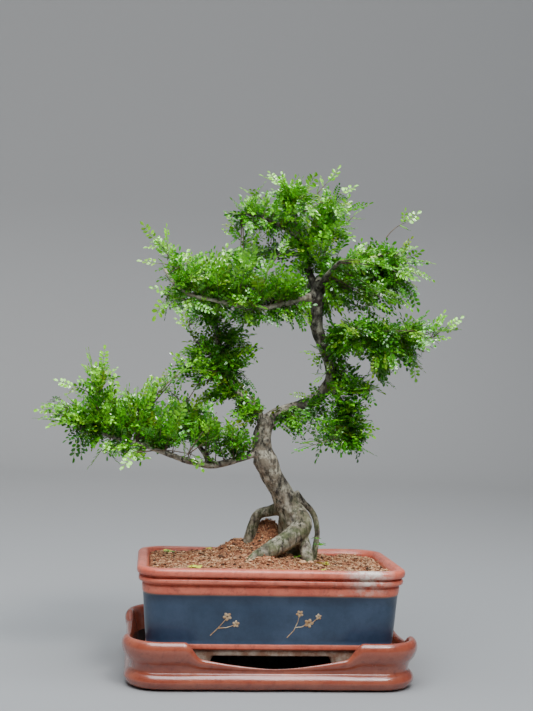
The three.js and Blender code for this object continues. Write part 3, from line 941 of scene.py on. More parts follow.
@dataclass
class Pot:
    """A pressed stoneware pot with a rim, a bead, a glazed wall and a foot cut away at each side."""

    footprint: Footprint = Footprint(185.0, 108.0, 38.0)
    divisions: tuple[int, int, int] = (64, 36, 11)
    rim_top: float = 156.0
    glaze_top: float = 121.0
    glaze_bottom: float = 54.0
    skirt_bottom: float = 38.0
    foot_bottom: float = 10.3
    foot_cut_long: float = 85.0
    foot_cut_short: float = 45.0
    foot_curl: float = 14.0
    floor_bottom: float = 45.0
    floor_top: float = 56.0
    inner_top: Pair = (15.5, 150.0)
    inner_bottom: Pair = (24.0, 62.0)
    wall_top: Pair = (9.0, 120.0)
    wall_bottom: Pair = (15.0, 54.0)
    uneven_size: float = 55.0
    uneven_depth: float = 0.6
    drain_radius: float = 11.0
    drain_x: float = 85.0
    drain_sides: int = 32
    drill_depth: float = 60.0

    def inner_inset(self, height: float) -> float:
        """Gives how far the inner wall stands in from the rim's outline at a height."""
        return leaning(height, self.inner_bottom, self.inner_top)

    def wall_inset(self, height: float) -> float:
        """Gives how far the glazed wall stands in from the rim's outline at a height."""
        return leaning(height, self.wall_bottom, self.wall_top)

    def foot_height(self, station: Station) -> float:
        """Gives the height of the skirt's lower edge, which rises between the feet.

        Args:
            station: The place on the outline.

        Returns:
            The height above the table.
        """
        x, y = self.footprint.point(station, 0)
        if station.on_long_side:
            share = smooth_step((self.foot_cut_long - abs(x)) / self.foot_curl + 0.5)
        elif station.on_short_side:
            share = smooth_step((self.foot_cut_short - abs(y)) / self.foot_curl + 0.5)
        else:
            share = 0.0
        return self.foot_bottom + (self.skirt_bottom - self.foot_bottom) * share

    def shaped(self, station: Station, row: Row) -> Pair:
        """Lifts the skirt's lower edge between the feet.

        Args:
            station: The place on the outline.
            row: The level of the wall at a foot.

        Returns:
            Inset and height there.
        """
        if row.height >= self.skirt_bottom:
            return row.inset, row.height
        low = self.foot_height(station)
        span = self.skirt_bottom - self.foot_bottom
        share = (row.height - self.foot_bottom) / span
        return row.inset, low + (self.skirt_bottom - low) * share

    def rows(self) -> list[Row]:
        """Lists the wall's section.

        Returns:
            The rows from the underside out, up, over the rim and down to the floor inside.
        """
        rim, wall, foot, inside = (band.value for band in Band)
        skirt = ((70, self.floor_bottom), (34, self.floor_bottom), (31, self.foot_bottom))
        skirt += ((20, self.foot_bottom), (18.5, self.skirt_bottom), (18, 46))
        base = [Row(*corner, foot) for corner in skirt]
        base += [Row(*corner, rim) for corner in ((14.6, 47.6), (14.5, 53.2), (15.1, self.glaze_bottom))]
        glazed = [
            Row(self.wall_inset(height), height, wall) for height in (60, 75, 90, 105, self.glaze_top)
        ]
        beads = (
            *((8.3, 121.6), (7.6, 124), (7.2, 131.6), (8.6, 133.4), (8.4, 134.6), (3.0, 135.8)),
            *((2.0, 139.0), (3.0, 142.0), (7.4, 143.0), (7.2, 144.8), (0.6, 145.8), (-0.4, 148.5)),
            *((-0.2, 153), (2.6, self.rim_top), (11.5, self.rim_top), self.inner_top),
        )
        upper = [Row(*corner, rim) for corner in beads]
        well = (self.inner_bottom, (32, self.floor_top), (70, self.floor_top))
        upper += [Row(*corner, inside) for corner in well]
        return [*rounded(base, steps=2, reach=1.2), *glazed, *rounded(upper, steps=2, reach=1.6)]

    def build(self) -> bpy.types.Object:
        """Makes the pot with its drain holes.

        Returns:
            The finished piece.
        """
        stations = self.footprint.stations(*self.divisions)
        made = swept(self.footprint, stations, self.rows(), self.shaped)
        unevenness(made, self.uneven_size, self.uneven_depth, self.skirt_bottom)
        finishes = (RIM_GLAZE, WALL_GLAZE, FOOT_CLAY, RIM_GLAZE)
        mesh = meshed("pot", made)
        for finish in finishes:
            mesh.materials.append(MATERIALS(finish))
        drills = bmesh.new()
        for x in (-self.drain_x, self.drain_x):
            bmesh.ops.create_cone(
                drills,
                cap_ends=True,
                segments=self.drain_sides,
                radius1=self.drain_radius,
                radius2=self.drain_radius,
                depth=self.drill_depth,
                matrix=Matrix.Translation((x, 0, self.floor_top)),
            )
        drill = linked("drills", meshed("drills", drills))
        mesh = applied(mesh, ("BOOLEAN", {"object": drill, "operation": "DIFFERENCE", "solver": "EXACT"}))
        bpy.data.objects.remove(drill)
        piece = finished("pot_rim_wall_and_feet", mesh, finishes, Slot.POT)
        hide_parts("pot_glazed_stoneware")
        return piece

    def on_front(self, x: float, height: float, proud: float) -> Vector:
        """Gives the point on the front of the glazed wall at an X and a height, a little proud of it."""
        return Vector((x, -(self.footprint.half_depth - self.wall_inset(height)) - proud, height))


@dataclass
class SlipSprigs:
    """Two small flowering sprigs trailed in tan slip on the front of the pot, a common potter's motif."""

    pot: Pot
    line_radius: float = 0.75
    line_taper: float = 0.5
    sunk: float = 0.2
    petals: int = 5
    petal: float = 3.1
    petal_reach: float = 1.1
    petal_rise: float = 0.45
    petal_width: float = 0.72
    blossoms: tuple[Triple, ...] = (
        (-62.0, 92.0, 1.0), (-50.0, 82.0, 0.8), (36.0, 97.0, 0.85), (49.0, 84.0, 1.05),
        (62.0, 93.0, 0.7),
    )
    twigs: tuple[tuple[Pair, ...], ...] = (
        ((-84, 66), (-76, 74), (-68, 83), (-62, 91)), ((-74, 76), (-62, 77), (-51, 81)),
        ((20, 64), (29, 74), (34, 86), (36, 96)), ((31, 78), (40, 79), (48, 84)),
        ((44, 82), (54, 85), (62, 92)),
    )

    def build(self) -> bpy.types.Object:
        """Makes the sprigs.

        Returns:
            The finished piece.
        """
        made = bmesh.new()
        paths = []
        for twig in self.twigs:
            path = []
            for i, (x, height) in enumerate(twig):
                radius = self.line_radius * (1 - self.line_taper * i / len(twig))
                path.append((self.pot.on_front(x, height, -self.sunk), radius))
            paths.append(path)
        made.from_mesh(tubes("twigs", paths, 1))
        for x, height, size in self.blossoms:
            reach = self.petal * self.petal_reach * size
            sides = (self.petal * size, self.petal_rise, self.petal * self.petal_width * size, 1)
            for i in range(self.petals):
                angle = i * math.tau / self.petals + x
                off_x, off_z = math.cos(angle) * reach, math.sin(angle) * reach
                place = Matrix.Translation(self.pot.on_front(x + off_x, height + off_z, 0.0))
                shape = place @ Matrix.Rotation(-angle, 4, "Y") @ Matrix.Diagonal(sides)
                bmesh.ops.create_uvsphere(made, u_segments=10, v_segments=6, radius=0.95, matrix=shape)
        for face in made.faces:
            face.smooth = True
        return finished("slip_trailed_sprigs", made, (SLIP_CLAY,), Slot.POT)


# Soil


@dataclass
class SoilBed:
    """Loose soil of bark and loam, heaped up round the roots, with crumbs, fibres and fallen leaflets."""

    pot: Pot
    divisions: tuple[int, int, int] = (84, 46, 7)
    edge: float = 147.0
    bottom: float = 56.3
    gap: float = 0.4
    clearance: float = 0.3
    foot_inset: float = 32.3
    rings: int = 34
    ring_width: float = 2.6
    # raking leaves low waves, and lumps sit on them: their heights, sizes and places in the noise
    rake_height: float = 1.4
    rake_waves: tuple[Pair, ...] = ((0.11, 0.07), (-0.05, 0.17))
    lumps: tuple[Triple, ...] = ((1.3, 7, 3), (0.8, 2.6, 9))
    # X, Y, rise and the half widths across and from front to back
    heaps: tuple[tuple[float, float, float, float, float], ...] = (
        (1.0, 26.0, 24.0, 64.0, 46.0), (-63.0, 20.0, 8.0, 110.0, 70.0), (-7.0, 34.0, 24.0, 16.0, 14.0),
        (15.0, 34.0, 28.0, 16.0, 14.0), (-20.0, -60.0, 13.0, 24.0, 17.0),
        (-46.0, 32.0, 9.0, 18.0, 15.0), (2.0, -42.0, 14.0, 62.0, 22.0),
    )
    # for each shed leaf or seedling X, Y, its height over the soil, its size and 1 where it is yellow
    strays: tuple[tuple[float, float, float, float, int], ...] = (
        (85, -40, 2, 0.9, 1), (86, 8, 24, 0.8, 0), (31, -52, 6, 0.6, 0), (47, -16, 50, 0.7, 0),
        (66, -16, 34, 0.8, 0), (62, -20, 26, 0.7, 0), (-136, 58, 3, 0.9, 0), (-142, 48, 2, 0.7, 1),
        (-95, -66, 2, 0.9, 1), (-112, -70, 2, 0.7, 1), (-86, 56, 2, 0.6, 1), (12, -76, 2, 0.5, 1),
        (76, -58, 2, 0.5, 1),
    )
    pebbles: tuple[Triple, ...] = ((44, -54, 4), (56, -47, 3.5), (-50, 14, 3))
    crumbs: int = 4600
    crumb_sizes: tuple[float, ...] = (0.7, 0.9, 1.1, 1.5, 2.0)
    fibres: int = 520
    fibre_step: float = 3.2
    fibre_bend: float = 0.25
    fibre_radius: float = 0.32
    corner: float = 20.0
    seed: int = 31

    def height(self, x: float, y: float) -> float:
        """Gives the height of the raked surface, without its crumbs.

        Args:
            x: Across the pot.
            y: From front to back.

        Returns:
            The height above the table.
        """
        waves = sum(math.sin(x * across + y * deep) for across, deep in self.rake_waves)
        level = self.edge + self.rake_height * waves
        for heap_x, heap_y, rise, wide, deep in self.heaps:
            level += rise * math.exp(-(((x - heap_x) / wide) ** 2) - ((y - heap_y) / deep) ** 2)
        return level

    def shaped(self, station: Station, row: Row) -> Pair:
        """Puts the rows above the edge on the heaped surface.

        Args:
            station: The place on the outline.
            row: The level.

        Returns:
            Inset and height there.
        """
        if row.height <= self.edge:
            return row.inset, row.height
        x, y = self.pot.footprint.point(station, row.inset)
        lump = sum(high * noise.noise(Vector((x, y, at)) / wide) for high, wide, at in self.lumps)
        return row.inset, self.height(x, y) + lump

    def bed(self) -> bpy.types.Object:
        """Makes the body of soil.

        Returns:
            The finished piece.
        """
        rim_inset = self.pot.inner_inset(self.edge) + self.gap
        well_inset, well_top = self.pot.inner_bottom
        side = (well_inset + self.gap, well_top + self.clearance)
        outer = ((70, self.bottom), (self.foot_inset, self.bottom), side, (rim_inset, self.edge))
        rows = [Row(*corner) for corner in outer]
        insets = [rim_inset + self.ring_width * i for i in range(1, self.rings + 1)]
        rows += [Row(inset, self.edge + 1) for inset in insets]
        stations = self.pot.footprint.stations(*self.divisions)
        made = swept(self.pot.footprint, stations, rows, self.shaped)
        piece = finished("soil_bed", made, (SOIL,), Slot.SOIL)
        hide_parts("soil_in_pot")
        return piece

    def scattered(self, draw: random.Random, margin: float) -> Vector:
        """Draws a point on the surface.

        Args:
            draw: The random stream.
            margin: How far it stays from the pot's inner wall.

        Returns:
            The point.
        """
        half_x = self.pot.footprint.half_width - self.pot.inner_inset(self.edge) - margin
        half_y = self.pot.footprint.half_depth - self.pot.inner_inset(self.edge) - margin
        while True:
            x, y = draw.uniform(-half_x, half_x), draw.uniform(-half_y, half_y)
            over_x, over_y = abs(x) - half_x + self.corner, abs(y) - half_y + self.corner
            if over_x < 0 or over_y < 0 or math.hypot(over_x, over_y) < self.corner:
                return Vector((x, y, self.height(x, y)))

    def litter(self) -> bpy.types.Object:
        """Makes crumbs of bark and humus, and fibres of coir.

        Returns:
            The finished piece.
        """
        draw = random.Random(self.seed)
        stone = bmesh.new()
        bmesh.ops.create_uvsphere(stone, u_segments=4, v_segments=2, radius=1.15)
        for vert in stone.verts:
            vert.co *= 1 + 0.35 * noise.noise(vert.co * 2.1)
        grain = meshed("grain", stone)
        made = bmesh.new()
        for _ in range(self.crumbs):
            size = draw.choice(self.crumb_sizes)
            sides = [size * draw.uniform(*span) for span in ((1, 2.1), (0.6, 1), (0.35, 0.8))]
            chip = Matrix.Diagonal((*sides, 1))
            turn = Matrix.Rotation(draw.uniform(0, math.tau), 4, "Z")
            tilt = Matrix.Rotation(draw.uniform(-0.6, 0.6), 4, "X")
            place = self.scattered(draw, 3.0) + Vector((0, 0, draw.uniform(0.1, 0.9) * size))
            one = grain.copy()
            one.transform(Matrix.Translation(place) @ turn @ tilt @ chip)
            numbered(one, draw.choice((0, 1, 1, 2)))
            made.from_mesh(one)
            bpy.data.meshes.remove(one)
        paths = []
        for _ in range(self.fibres):
            start = self.scattered(draw, 12.0)
            heading = draw.uniform(0, math.tau)
            path = []
            for i in range(4):
                turned, step = heading + self.fibre_bend * i, self.fibre_step * i
                x = start.x + math.cos(turned) * step
                y = start.y + math.sin(turned) * step
                lift = 1.2 + 1.5 * math.sin(i * 1.1) * draw.random()
                path.append((Vector((x, y, self.height(x, y) + lift)), self.fibre_radius))
            paths.append(path)
        threads = tubes("fibres", paths, 0)
        numbered(threads, 3)
        made.from_mesh(threads)
        return finished("soil_crumbs_and_fibres", made, (SOIL, CRUMB_LIGHT, CRUMB_DARK, FIBRE), Slot.SOIL)

    def fallen(self) -> bpy.types.Object:
        """Lays shed leaves, seedlings and pebbles on the soil, and young growth at the trunk's foot.

        Returns:
            The finished piece.
        """
        draw = random.Random(self.seed)
        made = bmesh.new()
        for x, y, lift, size, kind in self.strays:
            leaf = LeafForm(1, 0.3, draw.randrange(99), leaflet_length=11.0, leaflet_width=7.5).build()
            turn = Matrix.Rotation(draw.uniform(0, math.tau), 4, "Z") @ Matrix.Rotation(-0.35, 4, "Y")
            place = Matrix.Translation((x, y, self.height(x, y) + lift))
            leaf.transform(place @ turn @ Matrix.Scale(size, 4))
            numbered(leaf, kind)
            leaf.attributes["tone"].data.foreach_set("value", [0.55] * len(leaf.vertices))
            made.from_mesh(leaf)
        for x, y, size in self.pebbles:
            place = Matrix.Translation((x, y, self.height(x, y) + size * 0.4))
            shape = Matrix.Diagonal((size * 1.4, size, size * 0.8, 1))
            before = len(made.faces)
            bmesh.ops.create_icosphere(made, subdivisions=2, radius=1.0, matrix=place @ shape)
            made.faces.ensure_lookup_table()
            for face in made.faces[before:]:
                face.material_index = 2
        return finished("fallen_leaves_and_pebbles", made, (LEAF, FALLEN, CRUMB_LIGHT), Slot.LEAF)


# Wood

# the middle lines of the limbs, from foot to tip: X, Y, Z and the radius at each point
LIMBS: dict[str, tuple[tuple[float, float, float, float], ...]] = {
    "trunk": (
        (43, 7, 139, 16), (43, 6, 172, 15.5), (39, 4, 205, 16), (31, 4, 232, 18), (16, 0, 259, 16),
        (5, -3, 277, 15.5), (-2, -4, 292, 17.5), (-8, -2, 310, 15), (-10, 1, 328, 13.5),
        (-7, 4, 344, 13),
    ),
    "root_front": (
        (34, 2, 225, 14), (44, -5, 222, 14.5), (50, -16, 206, 15), (36, -30, 192, 14.5),
        (14, -42, 180, 13), (-8, -50, 169, 11.5), (-26, -56, 156, 9.5), (-36, -60, 138, 7),
    ),
    "root_arch": (
        (28, 8, 230, 12), (8, 17, 222, 8.5), (-9, 22, 216, 8), (-16, 26, 199, 8.2), (-20, 27, 182, 8.8),
        (-24, 27, 160, 9.5), (-27, 26, 138, 8),
    ),
    "root_rear": (
        (31, 10, 228, 11), (28, 20, 205, 8), (27, 28, 180, 8.5), (24, 38, 152, 8), (22, 42, 138, 7),
    ),
    "root_right": (
        (42, 6, 251, 6), (54, 10, 237, 5), (67, 12, 225, 4.5), (74, 10, 210, 4.2), (76, 6, 191, 4.2),
        (73, 0, 172, 4.6), (69, -6, 152, 5), (66, -8, 138, 4.5),
    ),
    "root_low": (
        (46, -14, 200, 10), (52, -26, 182, 9.5), (56, -36, 165, 9), (58, -44, 149, 8),
        (59, -47, 138, 7),
    ),
    "arch": (
        (-7, 4, 344, 12.5), (5, 8, 359, 11), (27, 12, 370, 9.2), (50, 14, 378, 8.8), (71, 14, 389, 9.4),
        (85, 12, 406, 9.4), (90, 8, 426, 8.8), (84, 4, 448, 8.8), (74, 0, 469, 9), (65, -3, 491, 9.6),
        (61, -4, 514, 11.5), (64, -2, 536, 13), (62, 2, 555, 7.5),
    ),
    "west_fork": (
        (-7, 0, 345, 8), (-19, -6, 368, 6.6), (-34, -10, 384, 6), (-48, -12, 394, 5.6),
        (-63, -8, 414, 5), (-72, -2, 439, 4.6), (-78, 4, 465, 4.1), (-82, 6, 491, 3.6),
        (-86, 4, 517, 3),
    ),
    "low_branch": (
        (-10, -6, 312, 8), (-28, -16, 305, 6), (-54, -28, 296, 5.2), (-83, -36, 290, 5),
        (-110, -42, 294, 4.6), (-134, -46, 301, 4.3), (-156, -48, 309, 4), (-176, -46, 315, 3.6),
        (-198, -42, 321, 3.2), (-222, -38, 326, 2.9), (-243, -34, 332, 2.6),
    ),
    "pale_branch": (
        (61, -4, 536, 8), (40, -16, 532, 6), (17, -26, 523, 5), (-8, -34, 516, 4.5), (-37, -38, 513, 4),
        (-65, -40, 518, 3.6), (-94, -42, 523, 3.2), (-122, -42, 528, 2.9), (-142, -42, 541, 2.7),
        (-160, -38, 564, 2.4),
    ),
    "pale_stub": ((62, 0, 545, 8), (66, -4, 552, 10), (73, -6, 561, 10.5), (80, -5, 571, 7)),
    "leader": (
        (62, 2, 550, 7), (51, 2, 573, 6), (46, 0, 596, 5), (36, -4, 618, 4.2), (27, -6, 644, 3.4),
        (22, -6, 668, 2.6),
    ),
    "crown_east": ((44, -2, 604, 4), (64, 8, 633, 3.4), (81, 12, 661, 2.8), (91, 12, 688, 2.2)),
    "crown_west": ((36, -4, 618, 3.6), (11, -12, 633, 3), (-16, -16, 644, 2.6), (-45, -18, 650, 2.2)),
    "east_high": (
        (64, 0, 548, 6.5), (78, 8, 570, 5), (104, 16, 582, 4.2), (130, 20, 593, 3.6), (157, 22, 602, 3),
    ),
    "east_mid": (
        (74, 0, 469, 6), (105, -14, 480, 4.4), (132, -22, 484, 4), (165, -26, 485, 3.5),
        (201, -24, 492, 2.9),
    ),
    "east_low": ((86, 12, 408, 6.5), (107, 2, 405, 5), (125, -6, 400, 4.2), (144, -12, 402, 3.4)),
    "east_drop": ((88, 10, 406, 5), (105, -4, 384, 3.6), (117, -10, 359, 3), (122, -14, 336, 2.4)),
    "back_bough": ((64, 0, 540, 6.5), (58, 40, 556, 4.6), (50, 76, 570, 3.6), (44, 104, 580, 2.6)),
    "front_bough": ((62, -6, 545, 6), (70, -40, 562, 4.2), (76, -74, 572, 3.2), (80, -98, 578, 2.4)),
    "west_back": ((-72, -2, 439, 4.4), (-90, 38, 455, 3.4), (-110, 74, 470, 2.6)),
    "heart_back": ((46, 0, 596, 4.6), (14, 38, 604, 3.6), (-20, 74, 610, 2.6)),
    "low_back": ((-83, -36, 290, 4.6), (-98, 0, 312, 3.6), (-118, 38, 332, 2.6)),
}
PALE_LIMBS = ("pale_branch", "pale_stub")

# stubs and swellings: where each stands, the way it points, its radius and its length
KNOTS = (
    ((66, -4, 530), (0.9, -0.3, 0.2), 9, 17),
    ((56, -4, 520), (-0.9, -0.4, 0.1), 7, 16),
    ((-8, -4, 324), (0.3, -1, 0.1), 7, 15),
    ((-4, -4, 292), (-1, -0.2, 0.3), 9, 18),
    ((24, 2, 246), (0.9, -0.5, 0.2), 8, 19),
)


@dataclass(frozen=True)
class Limb:
    """The middle line of a limb: a smooth curve through points that hold X, Y, Z and a radius."""

    points: tuple[tuple[float, float, float, float], ...]

    def at(self, share: float) -> tuple[Vector, float]:
        """Finds a place along the limb.

        Args:
            share: 0 at its foot and 1 at its tip.

        Returns:
            The place and the radius there.
        """
        knots = [Vector(point) for point in self.points]
        spans = len(knots) - 1
        span = min(int(share * spans), spans - 1)
        t = share * spans - span
        a, b = knots[max(span - 1, 0)], knots[span]
        c, d = knots[span + 1], knots[min(span + 2, spans)]
        curved = 0.5 * (
            2 * b + (c - a) * t + (2 * a - 5 * b + 4 * c - d) * t**2 + (3 * b - a - 3 * c + d) * t**3
        )
        return curved.xyz, curved.w

    def sampled(self, step: float) -> list[tuple[Vector, float]]:
        """Divides the limb.

        Args:
            step: The distance between places, roughly.

        Returns:
            Places with their radii, from foot to tip.
        """
        knots = [Vector(point[:3]) for point in self.points]
        length = sum((b - a).length for a, b in zip(knots, knots[1:]))
        count = max(2, round(length / step))
        return [self.at(i / count) for i in range(count + 1)]


@dataclass
class Wood:
    """Trunk, roots and boughs, grown as one, with cracked and lumpy bark."""

    voxel: float = 1.65
    step: float = 4.0
    smoothing: int = 2
    bark_steps: int = 4
    # how a knot's radius changes from its foot to its end
    knot_shape: tuple[Pair, ...] = ((0.0, 1.0), (0.4, 1.02), (0.75, 0.9), (1.0, 0.5))
    # the bark's plates are drawn out along the trunk, and full depth needs a thick limb
    drawn_out: float = 0.4
    plate_size: float = 5.5
    crack_size: float = 2.6
    lump_size: float = 17.0
    full_depth_radius: float = 14.0

    def relief(self, place: Vector, radius: float) -> float:
        """Gives how far the bark stands out.

        Args:
            place: A point on the bark.
            radius: The limb's radius there.

        Returns:
            The distance, which is negative in a crack.
        """
        along = Vector((place.x, place.y, place.z * self.drawn_out))
        plates = noise.noise(along / self.plate_size) + 0.6 * noise.noise(along / self.crack_size)
        lumps = noise.noise(place / self.lump_size)
        thick = min(radius / self.full_depth_radius, 1.0)
        return thick * (0.9 * plates - 0.5 * abs(plates) + 1.5 * lumps)

    def build(self) -> bpy.types.Object:
        """Makes the wood.

        Returns:
            The finished piece.
        """
        paths = [Limb(points).sampled(self.step) for points in LIMBS.values()]
        pale = {list(LIMBS).index(name) for name in PALE_LIMBS}
        for at, toward, radius, length in KNOTS:
            start, way = Vector(at), Vector(toward).normalized()
            paths.append([(start + way * length * t, radius * size) for t, size in self.knot_shape])
        mesh = applied(tubes("wood", paths, 4), ("REMESH", {"mode": "VOXEL", "voxel_size": self.voxel}))
        nearest = KDTree(sum(len(path) for path in paths))
        radii, finish_of = [], []
        for number, path in enumerate(paths):
            for i, (place, radius) in enumerate(path):
                nearest.insert(place, len(radii))
                radii.append(radius)
                finish_of.append(int(number in pale and i >= self.bark_steps))
        nearest.balance()
        made = bmesh.new()
        made.from_mesh(mesh)
        for _ in range(self.smoothing):
            axes = dict.fromkeys(("use_axis_x", "use_axis_y", "use_axis_z"), True)
            bmesh.ops.smooth_vert(made, verts=made.verts, factor=0.5, **axes)
        made.normal_update()
        moves = []
        for vert in made.verts:
            _, index, _ = nearest.find(vert.co)
            moves.append(vert.normal * self.relief(vert.co, radii[index]))
        for vert, move in zip(made.verts, moves):
            vert.co += move
        for face in made.faces:
            face.smooth = True
            face.material_index = finish_of[nearest.find(face.verts[0].co)[1]]
        piece = finished("trunk_roots_and_boughs", made, (BARK, PALE_BARK), Slot.BARK, TREE_SHIFT)
        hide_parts("tree_trunk_roots_branches")
        return piece


# Foliage


@dataclass(frozen=True)
class LeafForm:
    """One form of pinnate leaf: pairs of leaflets along a stalk, and one leaflet at its tip."""

    pairs: int
    droop: float
    seed: int
    stalk: float = 4.5
    pitch: float = 6.5
    leaflet_length: float = 9.4
    leaflet_width: float = 5.4
    fold: float = 0.3
    opening: float = 1.08
    tilt: float = 0.38
    # how far out the stalk's ends are, as shares of the leaf's length, and its radius there
    stalk_ends: tuple[Pair, ...] = ((0, 0.55), (0.78, 0.4))

    @property
    def length(self) -> float:
        """How long the leaf is from its foot to its tip."""
        return self.stalk + self.pitch * self.pairs + self.leaflet_length

    def leaflet(self) -> bpy.types.Mesh:
        """Makes one leaflet along +X from the origin, folded up a little along its midrib.

        Returns:
            A closed body, broadest past its middle, with a blunt tip.
        """
        made = bmesh.new()
        half = self.leaflet_width / 2
        outline = ((0, 0), (0.36, -0.84), (0.76, -0.96), (1, 0), (0.76, 0.96), (0.36, 0.84))
        verts = []
        for x, y in outline:
            place = (x * self.leaflet_length, y * half, abs(y) * half * self.fold)
            verts.append(made.verts.new(place))
        under = made.faces.new(verts)
        upper = bmesh.ops.duplicate(made, geom=[under])
        face = next(item for item in upper["geom"] if isinstance(item, bmesh.types.BMFace))
        bmesh.ops.reverse_faces(made, faces=[under])
        fan = bmesh.ops.poke(made, faces=[face])
        fan["verts"][0].co.z = 0.1
        bmesh.ops.translate(made, verts=fan["verts"], vec=(self.leaflet_length * 0.08, 0, 0))
        bmesh.ops.remove_doubles(made, verts=made.verts, dist=0.01)
        mesh = meshed("leaflet", made)
        mesh.attributes.new("shade", "FLOAT", "POINT")
        return mesh

    def build(self) -> bpy.types.Mesh:
        """Makes the whole leaf along +X, with its stalk's foot at the origin.

        Returns:
            A mesh with leaflets of material 0 and a stalk of material 1.
        """
        draw = random.Random(self.seed)
        leaflet = self.leaflet()
        made = bmesh.new()
        places = []
        for pair in range(self.pairs):
            size = 0.8 + 0.26 * math.sin(math.pi * (pair + 1) / (self.pairs + 1))
            for side in (-1, 1):
                x = self.stalk + self.pitch * pair + draw.uniform(-0.5, 0.5)
                places.append((x, side * 0.5, side * self.opening * draw.uniform(0.88, 1.08), size))
        places.append((self.length - self.leaflet_length, 0.0, 0.0, 1.05))
        for x, y, turn, size in places:
            spin = Matrix.Rotation(turn, 4, "Z")
            roll = Matrix.Rotation(draw.uniform(-self.tilt, self.tilt), 4, "X")
            nod = Matrix.Rotation(draw.uniform(-self.tilt, self.tilt) * 0.6, 4, "Y")
            one = leaflet.copy()
            one.transform(Matrix.Translation((x, y, 0.2)) @ spin @ roll @ nod @ Matrix.Scale(size, 4))
            one.attributes["shade"].data.foreach_set("value", [draw.random()] * len(one.vertices))
            made.from_mesh(one)
            bpy.data.meshes.remove(one)
        path = [(Vector((self.length * t, 0, 0)), radius) for t, radius in self.stalk_ends]
        stalk = tubes("stalk", [path], 0)
        numbered(stalk, 1)
        made.from_mesh(stalk)
        for vert in made.verts:
            vert.co.z -= self.droop * vert.co.x**2 / self.length
        mesh = meshed("leaf", made)
        for name in ("tone", "tint"):
            mesh.attributes.new(name, "FLOAT", "POINT")
        return mesh


@dataclass(frozen=True)
class Pad:
    """A cloud of foliage: its centre and its half sizes."""

    centre: Triple
    half: Triple
    core: float = 0.12
    spread: float = 0.45

    def drawn(self, draw: random.Random) -> Vector:
        """Draws a point inside, more often near the outside.

        Args:
            draw: The random stream.

        Returns:
            The point.
        """
        way = Vector((draw.gauss(0, 1), draw.gauss(0, 1), draw.gauss(0, 1))).normalized()
        reach = draw.uniform(self.core, 1.0) ** self.spread
        return Vector(c + w * h * reach for c, w, h in zip(self.centre, way, self.half))


class Vigour(Enum):
    """How a single far shoot grows: up, hanging down, or so thin that it holds one leaf only."""

    UPRIGHT = 0
    HANGING = 1
    LONE_LEAF = 2


UP, HANGS, LONE = Vigour.UPRIGHT, Vigour.HANGING, Vigour.LONE_LEAF


@dataclass(frozen=True)
class Mass:
    """One mass of the crown: the limbs that feed it, its age, its clouds and its furthest shoots."""

    name: str
    limbs: tuple[str, ...]
    age: float
    clouds: tuple[tuple[float, ...], ...]
    shoots: tuple[tuple[float | Vigour, ...], ...]

    def pads(self) -> list[Pad]:
        """Lists its clouds."""
        return [Pad(row[:3], row[3:]) for row in self.clouds]


